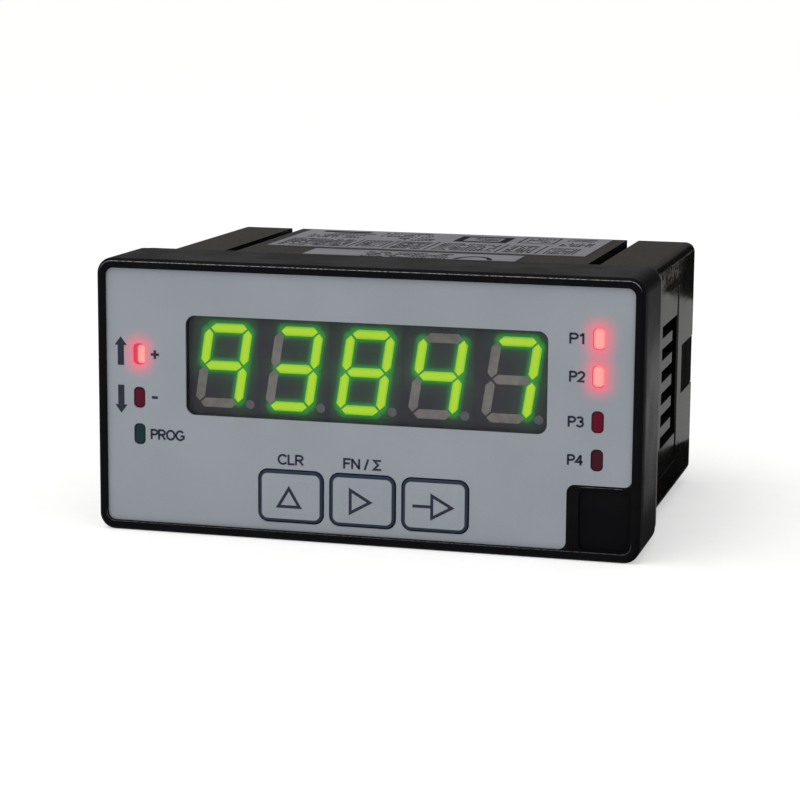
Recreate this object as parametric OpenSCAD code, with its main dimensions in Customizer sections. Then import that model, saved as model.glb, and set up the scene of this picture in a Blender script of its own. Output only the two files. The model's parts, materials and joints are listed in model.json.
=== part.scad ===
// Digital counter for a panel cut-out of 92 x 45 mm: bezel with a film overlay, five lit digits,
// seven indicator lights and three keys in front, and a slotted case with rear terminals behind.
// X is to the right, Y runs from the front to the rear and Z is up. The origin is the centre of the
// plane where the gasket seats on the panel.

/* [Front] */
// Width of the bezel
front_w = 96; // [92:0.5:110]
// Height of the bezel
front_h = 48; // [46:0.5:56]
// Depth of the bezel from its rim to the gasket
bezel_d = 16.4; // [15:0.1:24]
// Radius of the bezel's corners, seen from the front
bezel_corner_r = 2.8; // [2:0.1:4]
// Radius of the rounded edge round the bezel's front
bezel_edge_r = 0.8; // [0.3:0.1:1.4]
// Width of the rim at the left and right of the overlay
rim_w = 1.6; // [0.8:0.1:2]
// Height of the rim above and below the overlay
rim_h = 1.7; // [1:0.1:2.5]
// How far the rim stands in front of the overlay
rim_step = 0.5; // [0.2:0.1:1]
// Thickness of the gasket behind the bezel
gasket_t = 3; // [1:0.1:4]
// How far the gasket's outline lies inside the bezel's
gasket_inset = 0.3; // [0.1:0.1:0.6]

/* [Overlay] */
// Thickness of the overlay film
overlay_t = 0.4; // [0.2:0.05:0.8]
// Radius of the overlay's corners
overlay_corner_r = 1.4; // [0.8:0.1:2.4]
// Thickness of the bezel's plate behind the overlay
plate_t = 2; // [1.8:0.1:3]
// Width of the corner pad that the overlay leaves free
pad_w = 11; // [9:0.1:14]
// Height of the corner pad
pad_h = 11.2; // [9:0.1:12]
// Plain land at the left of the pad's recess
pad_land = 2.1; // [1:0.1:3]
// Depth of the pad's recess
pad_recess_d = 0.6; // [0.2:0.1:0.9]

/* [Display] */
// Width of the display window
window_w = 63.7; // [63:0.1:66]
// Height of the display window
window_h = 17.4; // [16:0.1:18.5]
// Distance of the window's middle below the overlay's top edge
window_drop = 16.5; // [15:0.1:18]
// Radius of the window's corners
window_r = 1.7; // [1:0.1:3]
// Thickness of the tinted lens
lens_t = 1; // [0.6:0.1:1.2]
// Digits on the display, from left to right
shown_digits = [9, 3, 8, 4, 7];
// Spacing of the digits
digit_pitch = 12.7; // [12.2:0.1:13]
// Height of the lit character
digit_char_h = 14.7; // [12:0.1:15]
// Distance between a character's left and right bars
digit_bar_gap = 7; // [5.5:0.1:7.4]
// Width of one segment
segment_w = 1.6; // [1:0.1:2]
// Slant of the character in degrees
digit_slant = 8.5; // [0:0.5:10]
// Gap between the digits' bodies
digit_gap = 0; // [0:0.1:0.6]
// Height of a digit's body
digit_body_h = 19; // [18:0.1:19.2]
// Depth of a digit's body
digit_body_d = 8; // [7:0.1:12]
// Radius of a decimal point
point_r = 0.8; // [0.5:0.05:0.9]

/* [Lights and keys] */
// Distance of the lights from the overlay's left and right edges
light_edge = 6; // [5.4:0.1:7]
// Width of a light's lens
light_w = 1.9; // [1.6:0.1:2.6]
// Height of a light's lens
light_h = 3.5; // [3:0.1:4.2]
// Radius of a light's corners
light_r = 0.75; // [0.3:0.05:0.8]
// Spacing of the keys
key_pitch = 12.8; // [12.7:0.1:14]
// Width of a key's pocket
key_w = 11.9; // [10:0.1:12.2]
// Height of a key's pocket
key_h = 9.4; // [8:0.1:9.8]
// Height of the keys' middle above the overlay's lower edge
key_lift = 6.1; // [6.1:0.1:7.1]
// Radius of a key's corners
key_r = 1.8; // [1:0.1:2.5]
// Gap all round a key's cap
key_gap = 0.2; // [0.15:0.05:0.4]
// How far a key's cap stands in front of the overlay
key_rise = 0.25; // [0.1:0.05:0.4]
// Travel of a key
key_travel = 0.5; // [0.2:0.05:0.6]

/* [Case] */
// How far the case's sides lie inside the bezel's
case_inset_w = 2.2; // [2.1:0.1:3]
// How far the case's top and bottom lie inside the bezel's
case_inset_h = 1.6; // [1.5:0.1:1.7]
// Reach of the case behind the panel seat
case_depth = 52.6; // [50:0.1:70]
// Radius of the case's long edges
case_edge_r = 1.8; // [1:0.1:2.2]
// Thickness of the case's wall
case_wall = 2.4; // [2.2:0.1:2.6]
// Distance of the long grooves from the case's sides
groove_edge = 12; // [8:0.1:13]
// Width of a long groove
groove_w = 2.2; // [1.5:0.1:3]
// Depth of a long groove
groove_d = 1.6; // [0.8:0.1:1.8]
// Slots in one side's comb
comb_count = 6; // [3:1:7]
// Spacing of the comb's slots
comb_pitch = 4.03; // [3.6:0.01:4.4]
// Height of one slot
comb_slot_h = 2.1; // [1.5:0.1:2.6]
// Length of the comb's slots
comb_slot_l = 11.9; // [8:0.1:13]
// Width of the channel at the slots' rear ends
comb_channel_w = 6.6; // [4:0.1:7]
// Height of the rear latch notch
notch_h = 9.2; // [6:0.1:12]
// Length of the rear latch notch
notch_l = 14; // [10:0.1:15]

/* [Rear] */
// Thickness of the rear cover
cover_t = 2.2; // [1.6:0.1:3]
// Spacing of the terminals
terminal_pitch = 5.08; // [5:0.01:5.08]
// Height of a terminal block
terminal_h = 10.2; // [9:0.1:11]
// How far the terminals stand behind the case
terminal_reach = 5; // [2:0.1:9]
// Height of each board's outer face above or below the middle
board_z = 15; // [14.6:0.1:15.4]
// Thickness of the circuit boards
board_t = 1.6; // [1:0.1:2]

/* [Hidden] */
$fn = 48;

// Clearances between pieces that fit together
slip = 0.2;
snug = 0.1;

// Planes of the front, from the rim to the rear
front_y = -(bezel_d + gasket_t);
overlay_y = front_y + rim_step;
plate_y = overlay_y + overlay_t;
plate_back_y = plate_y + plate_t;
digit_y = plate_y + lens_t + snug;
display_board_y = digit_y + digit_body_d;
case_front_y = display_board_y + board_t;
bezel_back_y = -gasket_t;

// Overlay and window
overlay_w = front_w - 2 * rim_w;
overlay_h = front_h - 2 * rim_h;
window_z = overlay_h / 2 - window_drop;
pad_x = overlay_w / 2 - pad_w;
pad_z = -overlay_h / 2 + pad_h;
lens_rim = 1;
aperture_w = digit_pitch * len(shown_digits) + 2 * slip;
aperture_h = digit_body_h + 2 * slip;
digit_body_w = digit_pitch - digit_gap;
// Character's middle and decimal point, to the right of the body's middle
char_x = 0;
point_x = 4.75;
well_d = 0.5;
segment_gap = 0.25;

// Segments lit for each figure, in the order a to g
FIGURES = ["abcdef", "bc", "abdeg", "abcdg", "bcfg", "acdfg", "cdefg", "abc", "abcdefg", "abcfg"];
SEGMENTS = "abcdefg";

// Heights of the lights above the window's middle, and their centres, each [x, z]
light_x = overlay_w / 2 - light_edge;
light_top = 7.85;
light_rows = [1.55, -6.1, -12.55];
LIGHTS = concat(
    [for (z = light_rows) [-light_x, window_z + z]],
    [for (z = concat([light_top], light_rows)) [light_x, window_z + z]]
);
light_body_w = 3.4;
light_body_h = 5;
light_step_y = plate_back_y + 1;
light_sink = 0.1;

// Keys and switches
KEYS = [-key_pitch, 0, key_pitch];
key_z = -overlay_h / 2 + key_lift;
cap_w = key_w - 2 * key_gap;
cap_h = key_h - 2 * key_gap;
cap_edge_r = 0.3;
cap_front_y = overlay_y - key_rise;
cap_t = 1.1;
cap_back_y = cap_front_y + cap_t;
pocket_floor_y = cap_back_y + key_travel + snug;
plunger_w = 4;
switch_w = 6.2;
switch_h = 3.5;
stem_r = 1.7;
stem_rise = 1.5;
switch_face_y = display_board_y - switch_h;
plunger_end_y = switch_face_y - stem_rise;
stem_seat = 0.8;

// Case
case_w = front_w - 2 * case_inset_w;
case_h = front_h - 2 * case_inset_h;
case_in_w = case_w - 2 * case_wall;
case_in_h = case_h - 2 * case_wall;
cavity_w = case_w + 2 * slip;
cavity_h = case_h + 2 * slip;
post_w = 5.5;
post_h = 4.4;
snap_l = 8;
snap_t = 0.3;
snap_w = 2;
snap_z = 12;
snap_y = (case_front_y + bezel_back_y) / 2;
side_recess_d = 0.15;
side_recess_edge = 6;
side_recess_h = case_h - 2 * side_recess_edge;
comb_y = 15.4;
comb_end_y = comb_y + comb_slot_l + comb_channel_w;
comb_h = (comb_count - 1) * comb_pitch + comb_slot_h;
groove_start_y = 4;
groove_x = case_w / 2 - groove_edge;
rail_t = 1.1;
rail_w = 1.4;
rail_end_y = case_depth - cover_t - 1;

// Rear cover, terminals and boards
cover_w = case_in_w - 2 * snug;
cover_h = case_in_h - 2 * snug;
cover_y = case_depth - cover_t;
tongue_t = 1.4;
tongue_sink = 0.1;
tongue_groove_w = 0.8;
tongue_groove_d = 0.5;
terminal_inside = 10.5;
terminal_y = case_depth - terminal_inside;
terminal_end_y = case_depth + terminal_reach;
wire_w = 2.8;
wire_h = 3.2;
wire_d = 7;
screw_hole_r = 1.9;
screw_r = 1.6;
screw_sink = 2;
screw_l = 3;
screw_slot_d = 0.8;
screw_slot_w = 0.6;
pole_gap = 0.4;
supply_poles = 3;
input_poles = 8;
relay_poles = 12;
terminal_space = 3;
lower_row_w = (supply_poles + input_poles) * terminal_pitch + terminal_space;
supply_x = -lower_row_w / 2 + supply_poles * terminal_pitch / 2;
input_x = lower_row_w / 2 - input_poles * terminal_pitch / 2;
board_side_gap = 0.6;
board_w = case_in_w - 2 * board_side_gap;
board_in_z = board_z - board_t;
board_end_y = cover_y - 1;
relay_board_y = 20;
lower_row_z = -board_in_z + terminal_h / 2;
upper_row_z = board_in_z - terminal_h / 2;

// Parts on the boards
core_w = 32;
core_h = 24;
core_t = 12;
core_leg = 10;
core_yoke = 4.5;
core_edge = 20.8;
core_x = -board_w / 2 + core_edge;
core_y = 12;
winding_over = 6;
capacitor_r = 6;
capacitor_h = 20;
capacitor_at = [8, 6];
filter_r = 4;
filter_h = 12;
filter_at = [22, 4];
processor_w = 12;
processor_edge = 18.8;
processor_at = [board_w / 2 - processor_edge, 24];
processor_t = 2;
relay_w = 8;
relay_l = 18;
relay_h = 11;
relay_pitch = 10.2;
relay_count = 4;
relay_edge = 2.2;
relay_x = board_w / 2 - relay_edge - (relay_count - 1) * relay_pitch - relay_w;
link_w = 25.4;
link_t = 2.5;
link_l = 6;

// Labels on the case's top
label_t = 0.15;
label_side = 2.5;
label_w = 2 * (groove_x - groove_w / 2 - label_side);
label_y = 21.8;
label_margin = 1.2;
strip_w = 39.4;
strip_y = 5;
strip_l = 13.8;

bezel_black = [0.07, 0.075, 0.09];
case_black = [0.1, 0.1, 0.11];
film_grey = [0.55, 0.57, 0.6];
part_black = [0.13, 0.13, 0.14];
board_green = [0.08, 0.3, 0.18];
lit_red = [0.95, 0.45, 0.5];
dark_red = [0.4, 0.08, 0.14];
dark_green = [0.1, 0.24, 0.22];

// Lays a drawing with x to the right, y up and z into the depth onto the part's own axes
module upright() mirror([0, 1, 0]) rotate([90, 0, 0]) children();

// Extrudes an upright outline from one depth to another
module plate(from_y, to_y) upright() translate([0, 0, from_y]) linear_extrude(to_y - from_y) children();

// A box between two corners
module box(low, high) translate(low) cube(high - low);

// Does the same on the left and on the right
module both_sides() {
    children();
    mirror([1, 0, 0]) children();
}

// A rectangle with rounded corners, about its middle
module round_rect(w, h, r) {
    square([w - 2 * r, h], center = true);
    square([w, h - 2 * r], center = true);
    for (x = [-1, 1], y = [-1, 1])
        translate([x * (w / 2 - r), y * (h / 2 - r)]) circle(r);
}

// Section of a rounded block's border: x outwards to the corner radius, y into the depth
module border_section(corner_r, edge_r, d) {
    square([corner_r - edge_r, d]);
    translate([0, edge_r]) square([corner_r, d - edge_r]);
    intersection() {
        translate([corner_r - edge_r, edge_r]) circle(edge_r);
        translate([corner_r - edge_r, 0]) square(edge_r);
    }
}

// A block with rounded corners whose front edge is rounded too, from one depth to another
module soft_block(w, h, corner_r, edge_r, from_y, to_y) {
    in_w = w - 2 * corner_r;
    in_h = h - 2 * corner_r;
    d = to_y - from_y;
    upright() translate([0, 0, from_y]) {
        translate([-in_w / 2, -in_h / 2, 0]) cube([in_w, in_h, d]);
        for (turn = [0, 180]) rotate(turn) {
            translate([in_w / 2, in_h / 2, 0]) rotate([90, 0, 0])
                linear_extrude(in_h) border_section(corner_r, edge_r, d);
            translate([-in_w / 2, in_h / 2, 0]) rotate([90, 0, 90])
                linear_extrude(in_w) border_section(corner_r, edge_r, d);
            for (flip = [0, 1]) mirror([flip, 0, 0])
                translate([in_w / 2, in_h / 2, 0])
                    rotate_extrude(angle = 90) border_section(corner_r, edge_r, d);
        }
    }
}

// Outline of the overlay, less the corner that is left free for the pad
module overlay_outline() {
    difference() {
        round_rect(overlay_w, overlay_h, overlay_corner_r);
        pad_outline(0);
    }
}

// Outline of the corner pad, made smaller on its free sides by a gap
module pad_outline(gap) {
    low = [pad_x + gap, -overlay_h];
    size = [overlay_w, pad_z - gap + overlay_h];
    translate(low) square(size - [0, overlay_corner_r]);
    translate(low + [overlay_corner_r, 0]) square(size);
    translate(low + [overlay_corner_r, size[1] - overlay_corner_r]) circle(overlay_corner_r);
}

// Outline of a light's lens with a margin all round
module light_outline(margin) round_rect(light_w + 2 * margin, light_h + 2 * margin, light_r + margin);

// Outline of a key's pocket
module key_outline() round_rect(key_w, key_h, key_r);

// Bezel

module front_bezel() color(bezel_black) difference() {
    union() {
        difference() {
            soft_block(front_w, front_h, bezel_corner_r, bezel_edge_r, front_y, bezel_back_y);
            plate(front_y - 1, plate_y) round_rect(overlay_w, overlay_h, overlay_corner_r);
            plate(plate_back_y, bezel_back_y + 1) round_rect(cavity_w, cavity_h, case_edge_r);
        }
        pad();
        board_posts();
    }
    plate(plate_y - 1, plate_y + lens_t) lens_outline(slip / 2);
    plate(plate_y, plate_back_y + 1) translate([0, window_z]) square([aperture_w, aperture_h], center = true);
    plate(plate_y - 1, plate_back_y + 1)
        for (at = LIGHTS) translate(at) light_outline(slip / 2);
    for (x = KEYS) translate([x, 0, key_z]) {
        plate(plate_y - 1, pocket_floor_y) key_outline();
        plate(plate_y, plate_back_y + 1) square(plunger_w + 2 * slip, center = true);
    }
    pad_recess();
    both_sides() snap_places(snap_t + snug, snug);
}

// The corner pad that fills the free corner up to the overlay's face
module pad() plate(overlay_y, plate_back_y) intersection() {
    round_rect(overlay_w + rim_w, overlay_h + rim_h, overlay_corner_r);
    pad_outline(snug);
}

// Shallow recess in the pad
module pad_recess() {
    w = pad_w - pad_land;
    h = pad_h - pad_land / 4;
    plate(overlay_y - 1, overlay_y + pad_recess_d)
        translate([overlay_w / 2 - w / 2, -overlay_h / 2 + h / 2]) round_rect(w, h, overlay_corner_r);
}

// Posts that hold the display board at the bezel's four corners
module board_posts() {
    for (x = [-1, 1], z = [-1, 1])
        translate([x * (cavity_w - post_w) / 2, 0, z * (cavity_h - post_h) / 2])
            plate(plate_back_y, display_board_y) square([post_w, post_h], center = true);
}

// Where the case snaps into the bezel's right wall
module snap_places(t, gap) {
    for (z = [-snap_z, snap_z])
        box([cavity_w / 2 - 2 * slip, snap_y - snap_w / 2 - gap, z - snap_l / 2 - gap],
            [cavity_w / 2 + t, snap_y + snap_w / 2 + gap, z + snap_l / 2 + gap]);
}

module panel_gasket() color([0.05, 0.05, 0.055]) plate(bezel_back_y, 0) difference() {
    round_rect(front_w - 2 * gasket_inset, front_h - 2 * gasket_inset, bezel_corner_r);
    round_rect(cavity_w, cavity_h, case_edge_r + slip);
}

module front_overlay() color(film_grey) plate(overlay_y, plate_y) difference() {
    overlay_outline();
    translate([0, window_z]) round_rect(window_w, window_h, window_r);
    for (at = LIGHTS) translate(at) light_outline(slip / 2);
    for (x = KEYS) translate([x, key_z]) key_outline();
}

// Outline of the tinted lens, which reaches under the overlay all round
module lens_outline(gap) translate([0, window_z])
    square([aperture_w + 2 * (lens_rim + gap), aperture_h + 2 * (lens_rim + gap)], center = true);

module display_window() color([0.2, 0.21, 0.24, 0.4]) plate(plate_y, plate_y + lens_t) lens_outline(0);

// Digits

// A point of the slanted character, from its upright place
function slanted(x, z) = [char_x + x + z * tan(digit_slant), z];

// Outline of one segment: its bar runs between two corners of the character
module segment(name) {
    bar_x = digit_bar_gap / 2;
    bar_z = (digit_char_h - segment_w) / 2;
    half = segment_w / 2;
    ends = name == "a" ? [[-bar_x, bar_z], [bar_x, bar_z]]
        : name == "b" ? [[bar_x, bar_z], [bar_x, 0]]
        : name == "c" ? [[bar_x, 0], [bar_x, -bar_z]]
        : name == "d" ? [[-bar_x, -bar_z], [bar_x, -bar_z]]
        : name == "e" ? [[-bar_x, 0], [-bar_x, -bar_z]]
        : name == "f" ? [[-bar_x, bar_z], [-bar_x, 0]]
        : [[-bar_x, 0], [bar_x, 0]];
    along = (ends[1] - ends[0]) / norm(ends[1] - ends[0]);
    across = [-along[1], along[0]] * half;
    tip0 = ends[0] + along * segment_gap;
    tip1 = ends[1] - along * segment_gap;
    points = [
        tip0, tip0 + along * half + across, tip1 - along * half + across,
        tip1, tip1 - along * half - across, tip0 + along * half - across
    ];
    polygon([for (p = points) slanted(p[0], p[1])]);
}

// Middle of a digit's body, counted from the left
function digit_place(i) = (i - (len(shown_digits) - 1) / 2) * digit_pitch;

module point() translate([point_x, -(digit_char_h - segment_w) / 2]) circle(point_r);

module digit(i) color([0.16, 0.17, 0.19]) translate([digit_place(i), 0, window_z]) difference() {
    plate(digit_y, display_board_y) square([digit_body_w, digit_body_h], center = true);
    plate(digit_y - 1, digit_y + well_d) {
        for (name = SEGMENTS) segment(name);
        point();
    }
}

function is_lit(i, name) = len(search(name, FIGURES[shown_digits[i]])) > 0;

// The segments of all digits that are lit, or those that aren't
module segments(lit) {
    for (i = [0 : len(shown_digits) - 1]) translate([digit_place(i), 0, window_z])
        plate(digit_y, digit_y + well_d) {
            for (name = SEGMENTS) if (is_lit(i, name) == lit) segment(name);
            if (!lit) point();
        }
}

module lit_segments() color([0.66, 0.86, 0.2]) segments(true);

module unlit_segments() color([0.45, 0.44, 0.42]) segments(false);

// Lights, keys and switches

module light(i, tint) color(tint) translate([LIGHTS[i][0], 0, LIGHTS[i][1]]) {
    plate(overlay_y + light_sink, light_step_y) light_outline(0);
    plate(light_step_y, display_board_y) square([light_body_w, light_body_h], center = true);
}

module key(i) color(film_grey) translate([KEYS[i], 0, key_z]) {
    soft_block(cap_w, cap_h, key_r - key_gap, cap_edge_r, cap_front_y, cap_back_y);
    plate(cap_back_y, plunger_end_y) square(plunger_w, center = true);
}

module switch_body(i) color(part_black) translate([KEYS[i], 0, key_z]) difference() {
    plate(switch_face_y, display_board_y) square(switch_w, center = true);
    plate(switch_face_y - 1, switch_face_y + stem_seat + key_travel + snug) circle(stem_r + snug);
}

module stem(i) color([0.2, 0.2, 0.21]) translate([KEYS[i], 0, key_z])
    plate(plunger_end_y, switch_face_y + stem_seat) circle(stem_r);

module display_board() color(board_green) plate(display_board_y, case_front_y)
    square([cavity_w - 2 * slip, cavity_h - 2 * slip], center = true);

// Case

module case() color(case_black) difference() {
    union() {
        plate(case_front_y, case_depth) difference() {
            round_rect(case_w, case_h, case_edge_r);
            square([case_in_w, case_in_h], center = true);
        }
        both_sides() {
            board_rails();
            snap_places(snap_t, 0);
        }
    }
    both_sides() {
        for (side = [0, 1]) mirror([0, 0, side]) groove();
        side_recess();
        comb();
        latch_notch();
    }
}

// Rails on the right wall that carry the two boards
module board_rails() {
    for (side = [0, 1], z = [board_in_z - snug - rail_t, board_z + snug]) mirror([0, 0, side])
        box([case_in_w / 2 - rail_w, case_front_y, z], [case_in_w / 2 + snug, rail_end_y, z + rail_t]);
}

// Long groove in the right of the case's top, open at the rear
module groove()
    box([groove_x - groove_w / 2, groove_start_y, case_h / 2 - groove_d],
        [groove_x + groove_w / 2, case_depth + 1, case_h]);

// Shallow panel in the right wall that the mounting clip's foot runs in
module side_recess()
    box([case_w / 2 - side_recess_d, comb_y - 1, -side_recess_h / 2],
        [case_w, comb_end_y, side_recess_h / 2]);

// Slots through the right wall that leave a row of tongues, with a channel across their ends
module comb() {
    for (i = [0 : comb_count - 1]) {
        z = (i - (comb_count - 1) / 2) * comb_pitch;
        box([case_in_w / 2 - 1, comb_y, z - comb_slot_h / 2],
            [case_w, comb_y + comb_slot_l + 1, z + comb_slot_h / 2]);
    }
    box([case_in_w / 2 - 1, comb_y + comb_slot_l, -comb_h / 2], [case_w, comb_end_y, comb_h / 2]);
}

// Notch in the right wall's rear edge for the cover's latch
module latch_notch()
    box([case_in_w / 2 - 1, case_depth - notch_l, -notch_h / 2], [case_w, case_depth + 1, notch_h / 2]);

// Rear

module rear_cover() color(part_black) difference() {
    union() {
        plate(cover_y, case_depth) square([cover_w, cover_h], center = true);
        both_sides() latch();
    }
    plate(cover_y - 1, case_depth + 1) {
        terminal_window(supply_x, lower_row_z, supply_poles);
        terminal_window(input_x, lower_row_z, input_poles);
        terminal_window(0, upper_row_z, relay_poles);
    }
}

// Opening for a terminal block
module terminal_window(x, z, poles) translate([x, z])
    square([poles * terminal_pitch + 2 * snug, terminal_h + 2 * snug], center = true);

// Latch tongue that fills the right notch, with a groove across it for a screwdriver's blade
module latch() {
    face_x = case_w / 2 - tongue_sink;
    half = notch_h / 2 - slip;
    tip_y = case_depth - notch_l + slip;
    groove_y = (tip_y + cover_y) / 2;
    difference() {
        union() {
            box([cover_w / 2 - 1, cover_y, -half], [face_x, case_depth, half]);
            box([face_x - tongue_t, tip_y, -half], [face_x, case_depth, half]);
        }
        box([face_x - tongue_groove_d, groove_y - tongue_groove_w / 2, -notch_h],
            [case_w, groove_y + tongue_groove_w / 2, notch_h]);
    }
}

// A terminal block whose wires enter at its rear, with a screw hole beside each wire
module terminal_block(x, z, poles, up) {
    w = poles * terminal_pitch;
    color([0.16, 0.34, 0.22]) translate([x, 0, z]) mirror([0, 0, up ? 0 : 1]) difference() {
        box([-w / 2, terminal_y, -terminal_h / 2], [w / 2, terminal_end_y, terminal_h / 2]);
        for (i = [0 : poles - 1]) translate([pole_place(i, poles), 0, 0]) {
            plate(terminal_end_y - wire_d, terminal_end_y + 1)
                translate([0, -terminal_h / 4]) square([wire_w, wire_h], center = true);
            plate(terminal_end_y - screw_sink - screw_l, terminal_end_y + 1)
                translate([0, terminal_h / 4]) circle(screw_hole_r);
            if (i > 0) translate([-terminal_pitch / 2, 0, 0])
                plate(terminal_end_y - pole_gap, terminal_end_y + 1)
                    square([pole_gap, terminal_h * 2], center = true);
        }
    }
}

function pole_place(i, poles) = (i - (poles - 1) / 2) * terminal_pitch;

module screw_row(x, z, poles, up) {
    for (i = [0 : poles - 1])
        translate([x + pole_place(i, poles), 0, z + (up ? 1 : -1) * terminal_h / 4]) difference() {
            plate(terminal_end_y - screw_sink - screw_l, terminal_end_y - screw_sink) circle(screw_r);
            plate(terminal_end_y - screw_sink - screw_slot_d, terminal_end_y)
                square([2 * screw_hole_r, screw_slot_w], center = true);
        }
}

module supply_terminals() terminal_block(supply_x, lower_row_z, supply_poles, true);

module input_terminals() terminal_block(input_x, lower_row_z, input_poles, true);

module relay_terminals() terminal_block(0, upper_row_z, relay_poles, false);

module terminal_screws() color("silver") {
    screw_row(supply_x, lower_row_z, supply_poles, true);
    screw_row(input_x, lower_row_z, input_poles, true);
    screw_row(0, upper_row_z, relay_poles, false);
}

// Boards and what stands on them

module main_board() color(board_green)
    box([-board_w / 2, case_front_y, -board_z], [board_w / 2, board_end_y, -board_in_z]);

module relay_board() color(board_green)
    box([-board_w / 2, relay_board_y, board_in_z], [board_w / 2, board_end_y, board_z]);

module display_link() color(part_black)
    box([-link_w / 2, case_front_y, -board_in_z], [link_w / 2, case_front_y + link_l, -board_in_z + link_t]);

module relay_link() color(part_black)
    box([-board_w / 2 + rail_w + 1, relay_board_y + 1, -board_in_z],
        [-board_w / 2 + rail_w + 1 + link_t, relay_board_y + 1 + link_w / 2, board_in_z]);

module transformer_core() color([0.35, 0.35, 0.37]) translate([core_x, core_y, -board_in_z]) difference() {
    box([-core_w / 2, -core_t / 2, 0], [core_w / 2, core_t / 2, core_h]);
    both_sides() box([core_leg / 2, -core_t, core_yoke], [core_w / 2 - core_yoke, core_t, core_h - core_yoke]);
}

module transformer_winding() color([0.75, 0.62, 0.25]) translate([core_x, core_y, -board_in_z]) {
    reach = core_w / 2 - core_yoke - snug;
    low = core_yoke + snug;
    high = core_h - core_yoke - snug;
    difference() {
        box([-reach, -core_t / 2 - winding_over, low], [reach, core_t / 2 + winding_over, high]);
        box([-core_leg / 2 - snug, -core_t / 2 - snug, 0], [core_leg / 2 + snug, core_t / 2 + snug, core_h]);
    }
}

// A round capacitor that stands on the main board
module capacitor(at, r, h) color([0.12, 0.14, 0.25])
    translate([at[0], at[1], -board_in_z]) cylinder(h = h, r = r);

module smoothing_capacitor() capacitor(capacitor_at, capacitor_r, capacitor_h);

module filter_capacitor() capacitor(filter_at, filter_r, filter_h);

module processor() color(part_black) translate([processor_at[0], processor_at[1], -board_in_z])
    box([-processor_w / 2, -processor_w / 2, 0], [processor_w / 2, processor_w / 2, processor_t]);

module relay(i) color([0.16, 0.3, 0.5]) translate([relay_x + i * relay_pitch, relay_board_y + 1, board_in_z])
    box([0, 0, -relay_h], [relay_w, relay_l, 0]);

// Labels on the case's top

module rating_label() color([0.62, 0.62, 0.64])
    box([-label_w / 2, label_y, case_h / 2], [label_w / 2, case_depth - label_margin, case_h / 2 + label_t]);

module wiring_label() color([0.62, 0.62, 0.64])
    box([-strip_w / 2, strip_y, case_h / 2], [strip_w / 2, strip_y + strip_l, case_h / 2 + label_t]);

front_bezel();
panel_gasket();
front_overlay();
display_window();
digit(0);  // digit_1
digit(1);  // digit_2
digit(2);  // digit_3
digit(3);  // digit_4
digit(4);  // digit_5
lit_segments();
unlit_segments();
light(0, lit_red);  // light_up
light(1, dark_red);  // light_down
light(2, dark_green);  // light_program
light(3, lit_red);  // light_1
light(4, lit_red);  // light_2
light(5, dark_red);  // light_3
light(6, dark_red);  // light_4
key(0);  // key_up
key(1);  // key_shift
key(2);  // key_enter
switch_body(0);  // switch_up
switch_body(1);  // switch_shift
switch_body(2);  // switch_enter
stem(0);  // stem_up
stem(1);  // stem_shift
stem(2);  // stem_enter
display_board();
case();
rear_cover();
main_board();
relay_board();
display_link();
relay_link();
transformer_core();
transformer_winding();
smoothing_capacitor();
filter_capacitor();
processor();
relay(0);  // relay_1
relay(1);  // relay_2
relay(2);  // relay_3
relay(3);  // relay_4
supply_terminals();
input_terminals();
relay_terminals();
terminal_screws();
rating_label();
wiring_label();
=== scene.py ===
"""Studio scene of a panel counter.

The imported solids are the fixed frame. Each class below dresses one sub-assembly of the counter,
adds the print and the small fittings that the solids leave out, and logs what it made. Lengths are
in millimetres of the part's own frame, with x to the right, y to the rear and z up, unless a
docstring says otherwise. A Range holds the two values between which an effect comes in.
"""

from __future__ import annotations

import json
import logging
import math
from dataclasses import dataclass, field
from enum import Enum
from functools import reduce
from typing import Any, Iterator, Sequence, Union

import bmesh
import bpy
from mathutils import Matrix, Vector

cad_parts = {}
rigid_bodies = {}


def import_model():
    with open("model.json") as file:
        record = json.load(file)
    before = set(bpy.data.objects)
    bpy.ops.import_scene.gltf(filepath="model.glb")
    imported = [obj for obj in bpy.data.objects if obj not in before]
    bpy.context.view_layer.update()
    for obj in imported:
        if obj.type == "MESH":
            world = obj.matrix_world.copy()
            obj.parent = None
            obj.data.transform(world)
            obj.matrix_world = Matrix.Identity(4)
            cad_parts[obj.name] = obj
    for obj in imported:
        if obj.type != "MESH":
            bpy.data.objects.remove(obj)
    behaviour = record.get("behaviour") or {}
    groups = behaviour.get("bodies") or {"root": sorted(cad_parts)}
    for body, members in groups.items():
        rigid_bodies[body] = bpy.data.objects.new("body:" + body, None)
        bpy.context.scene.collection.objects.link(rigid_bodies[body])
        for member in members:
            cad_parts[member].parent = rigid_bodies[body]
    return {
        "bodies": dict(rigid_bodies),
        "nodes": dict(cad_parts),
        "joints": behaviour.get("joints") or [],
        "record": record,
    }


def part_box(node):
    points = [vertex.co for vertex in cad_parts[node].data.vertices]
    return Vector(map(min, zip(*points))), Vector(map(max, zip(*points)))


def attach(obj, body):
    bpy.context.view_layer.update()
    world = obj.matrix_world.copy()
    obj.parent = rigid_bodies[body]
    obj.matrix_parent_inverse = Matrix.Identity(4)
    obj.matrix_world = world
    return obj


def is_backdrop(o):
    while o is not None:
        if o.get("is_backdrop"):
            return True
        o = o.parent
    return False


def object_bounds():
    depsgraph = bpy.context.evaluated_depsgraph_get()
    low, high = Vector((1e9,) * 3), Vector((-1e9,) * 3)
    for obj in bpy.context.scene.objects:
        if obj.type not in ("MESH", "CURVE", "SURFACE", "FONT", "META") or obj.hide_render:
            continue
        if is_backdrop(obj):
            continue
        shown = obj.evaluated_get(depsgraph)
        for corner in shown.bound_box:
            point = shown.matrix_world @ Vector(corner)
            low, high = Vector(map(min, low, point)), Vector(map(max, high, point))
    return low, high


MM = 0.001
DECIMALS = 4
LOG = logging.getLogger("counter")

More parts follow.
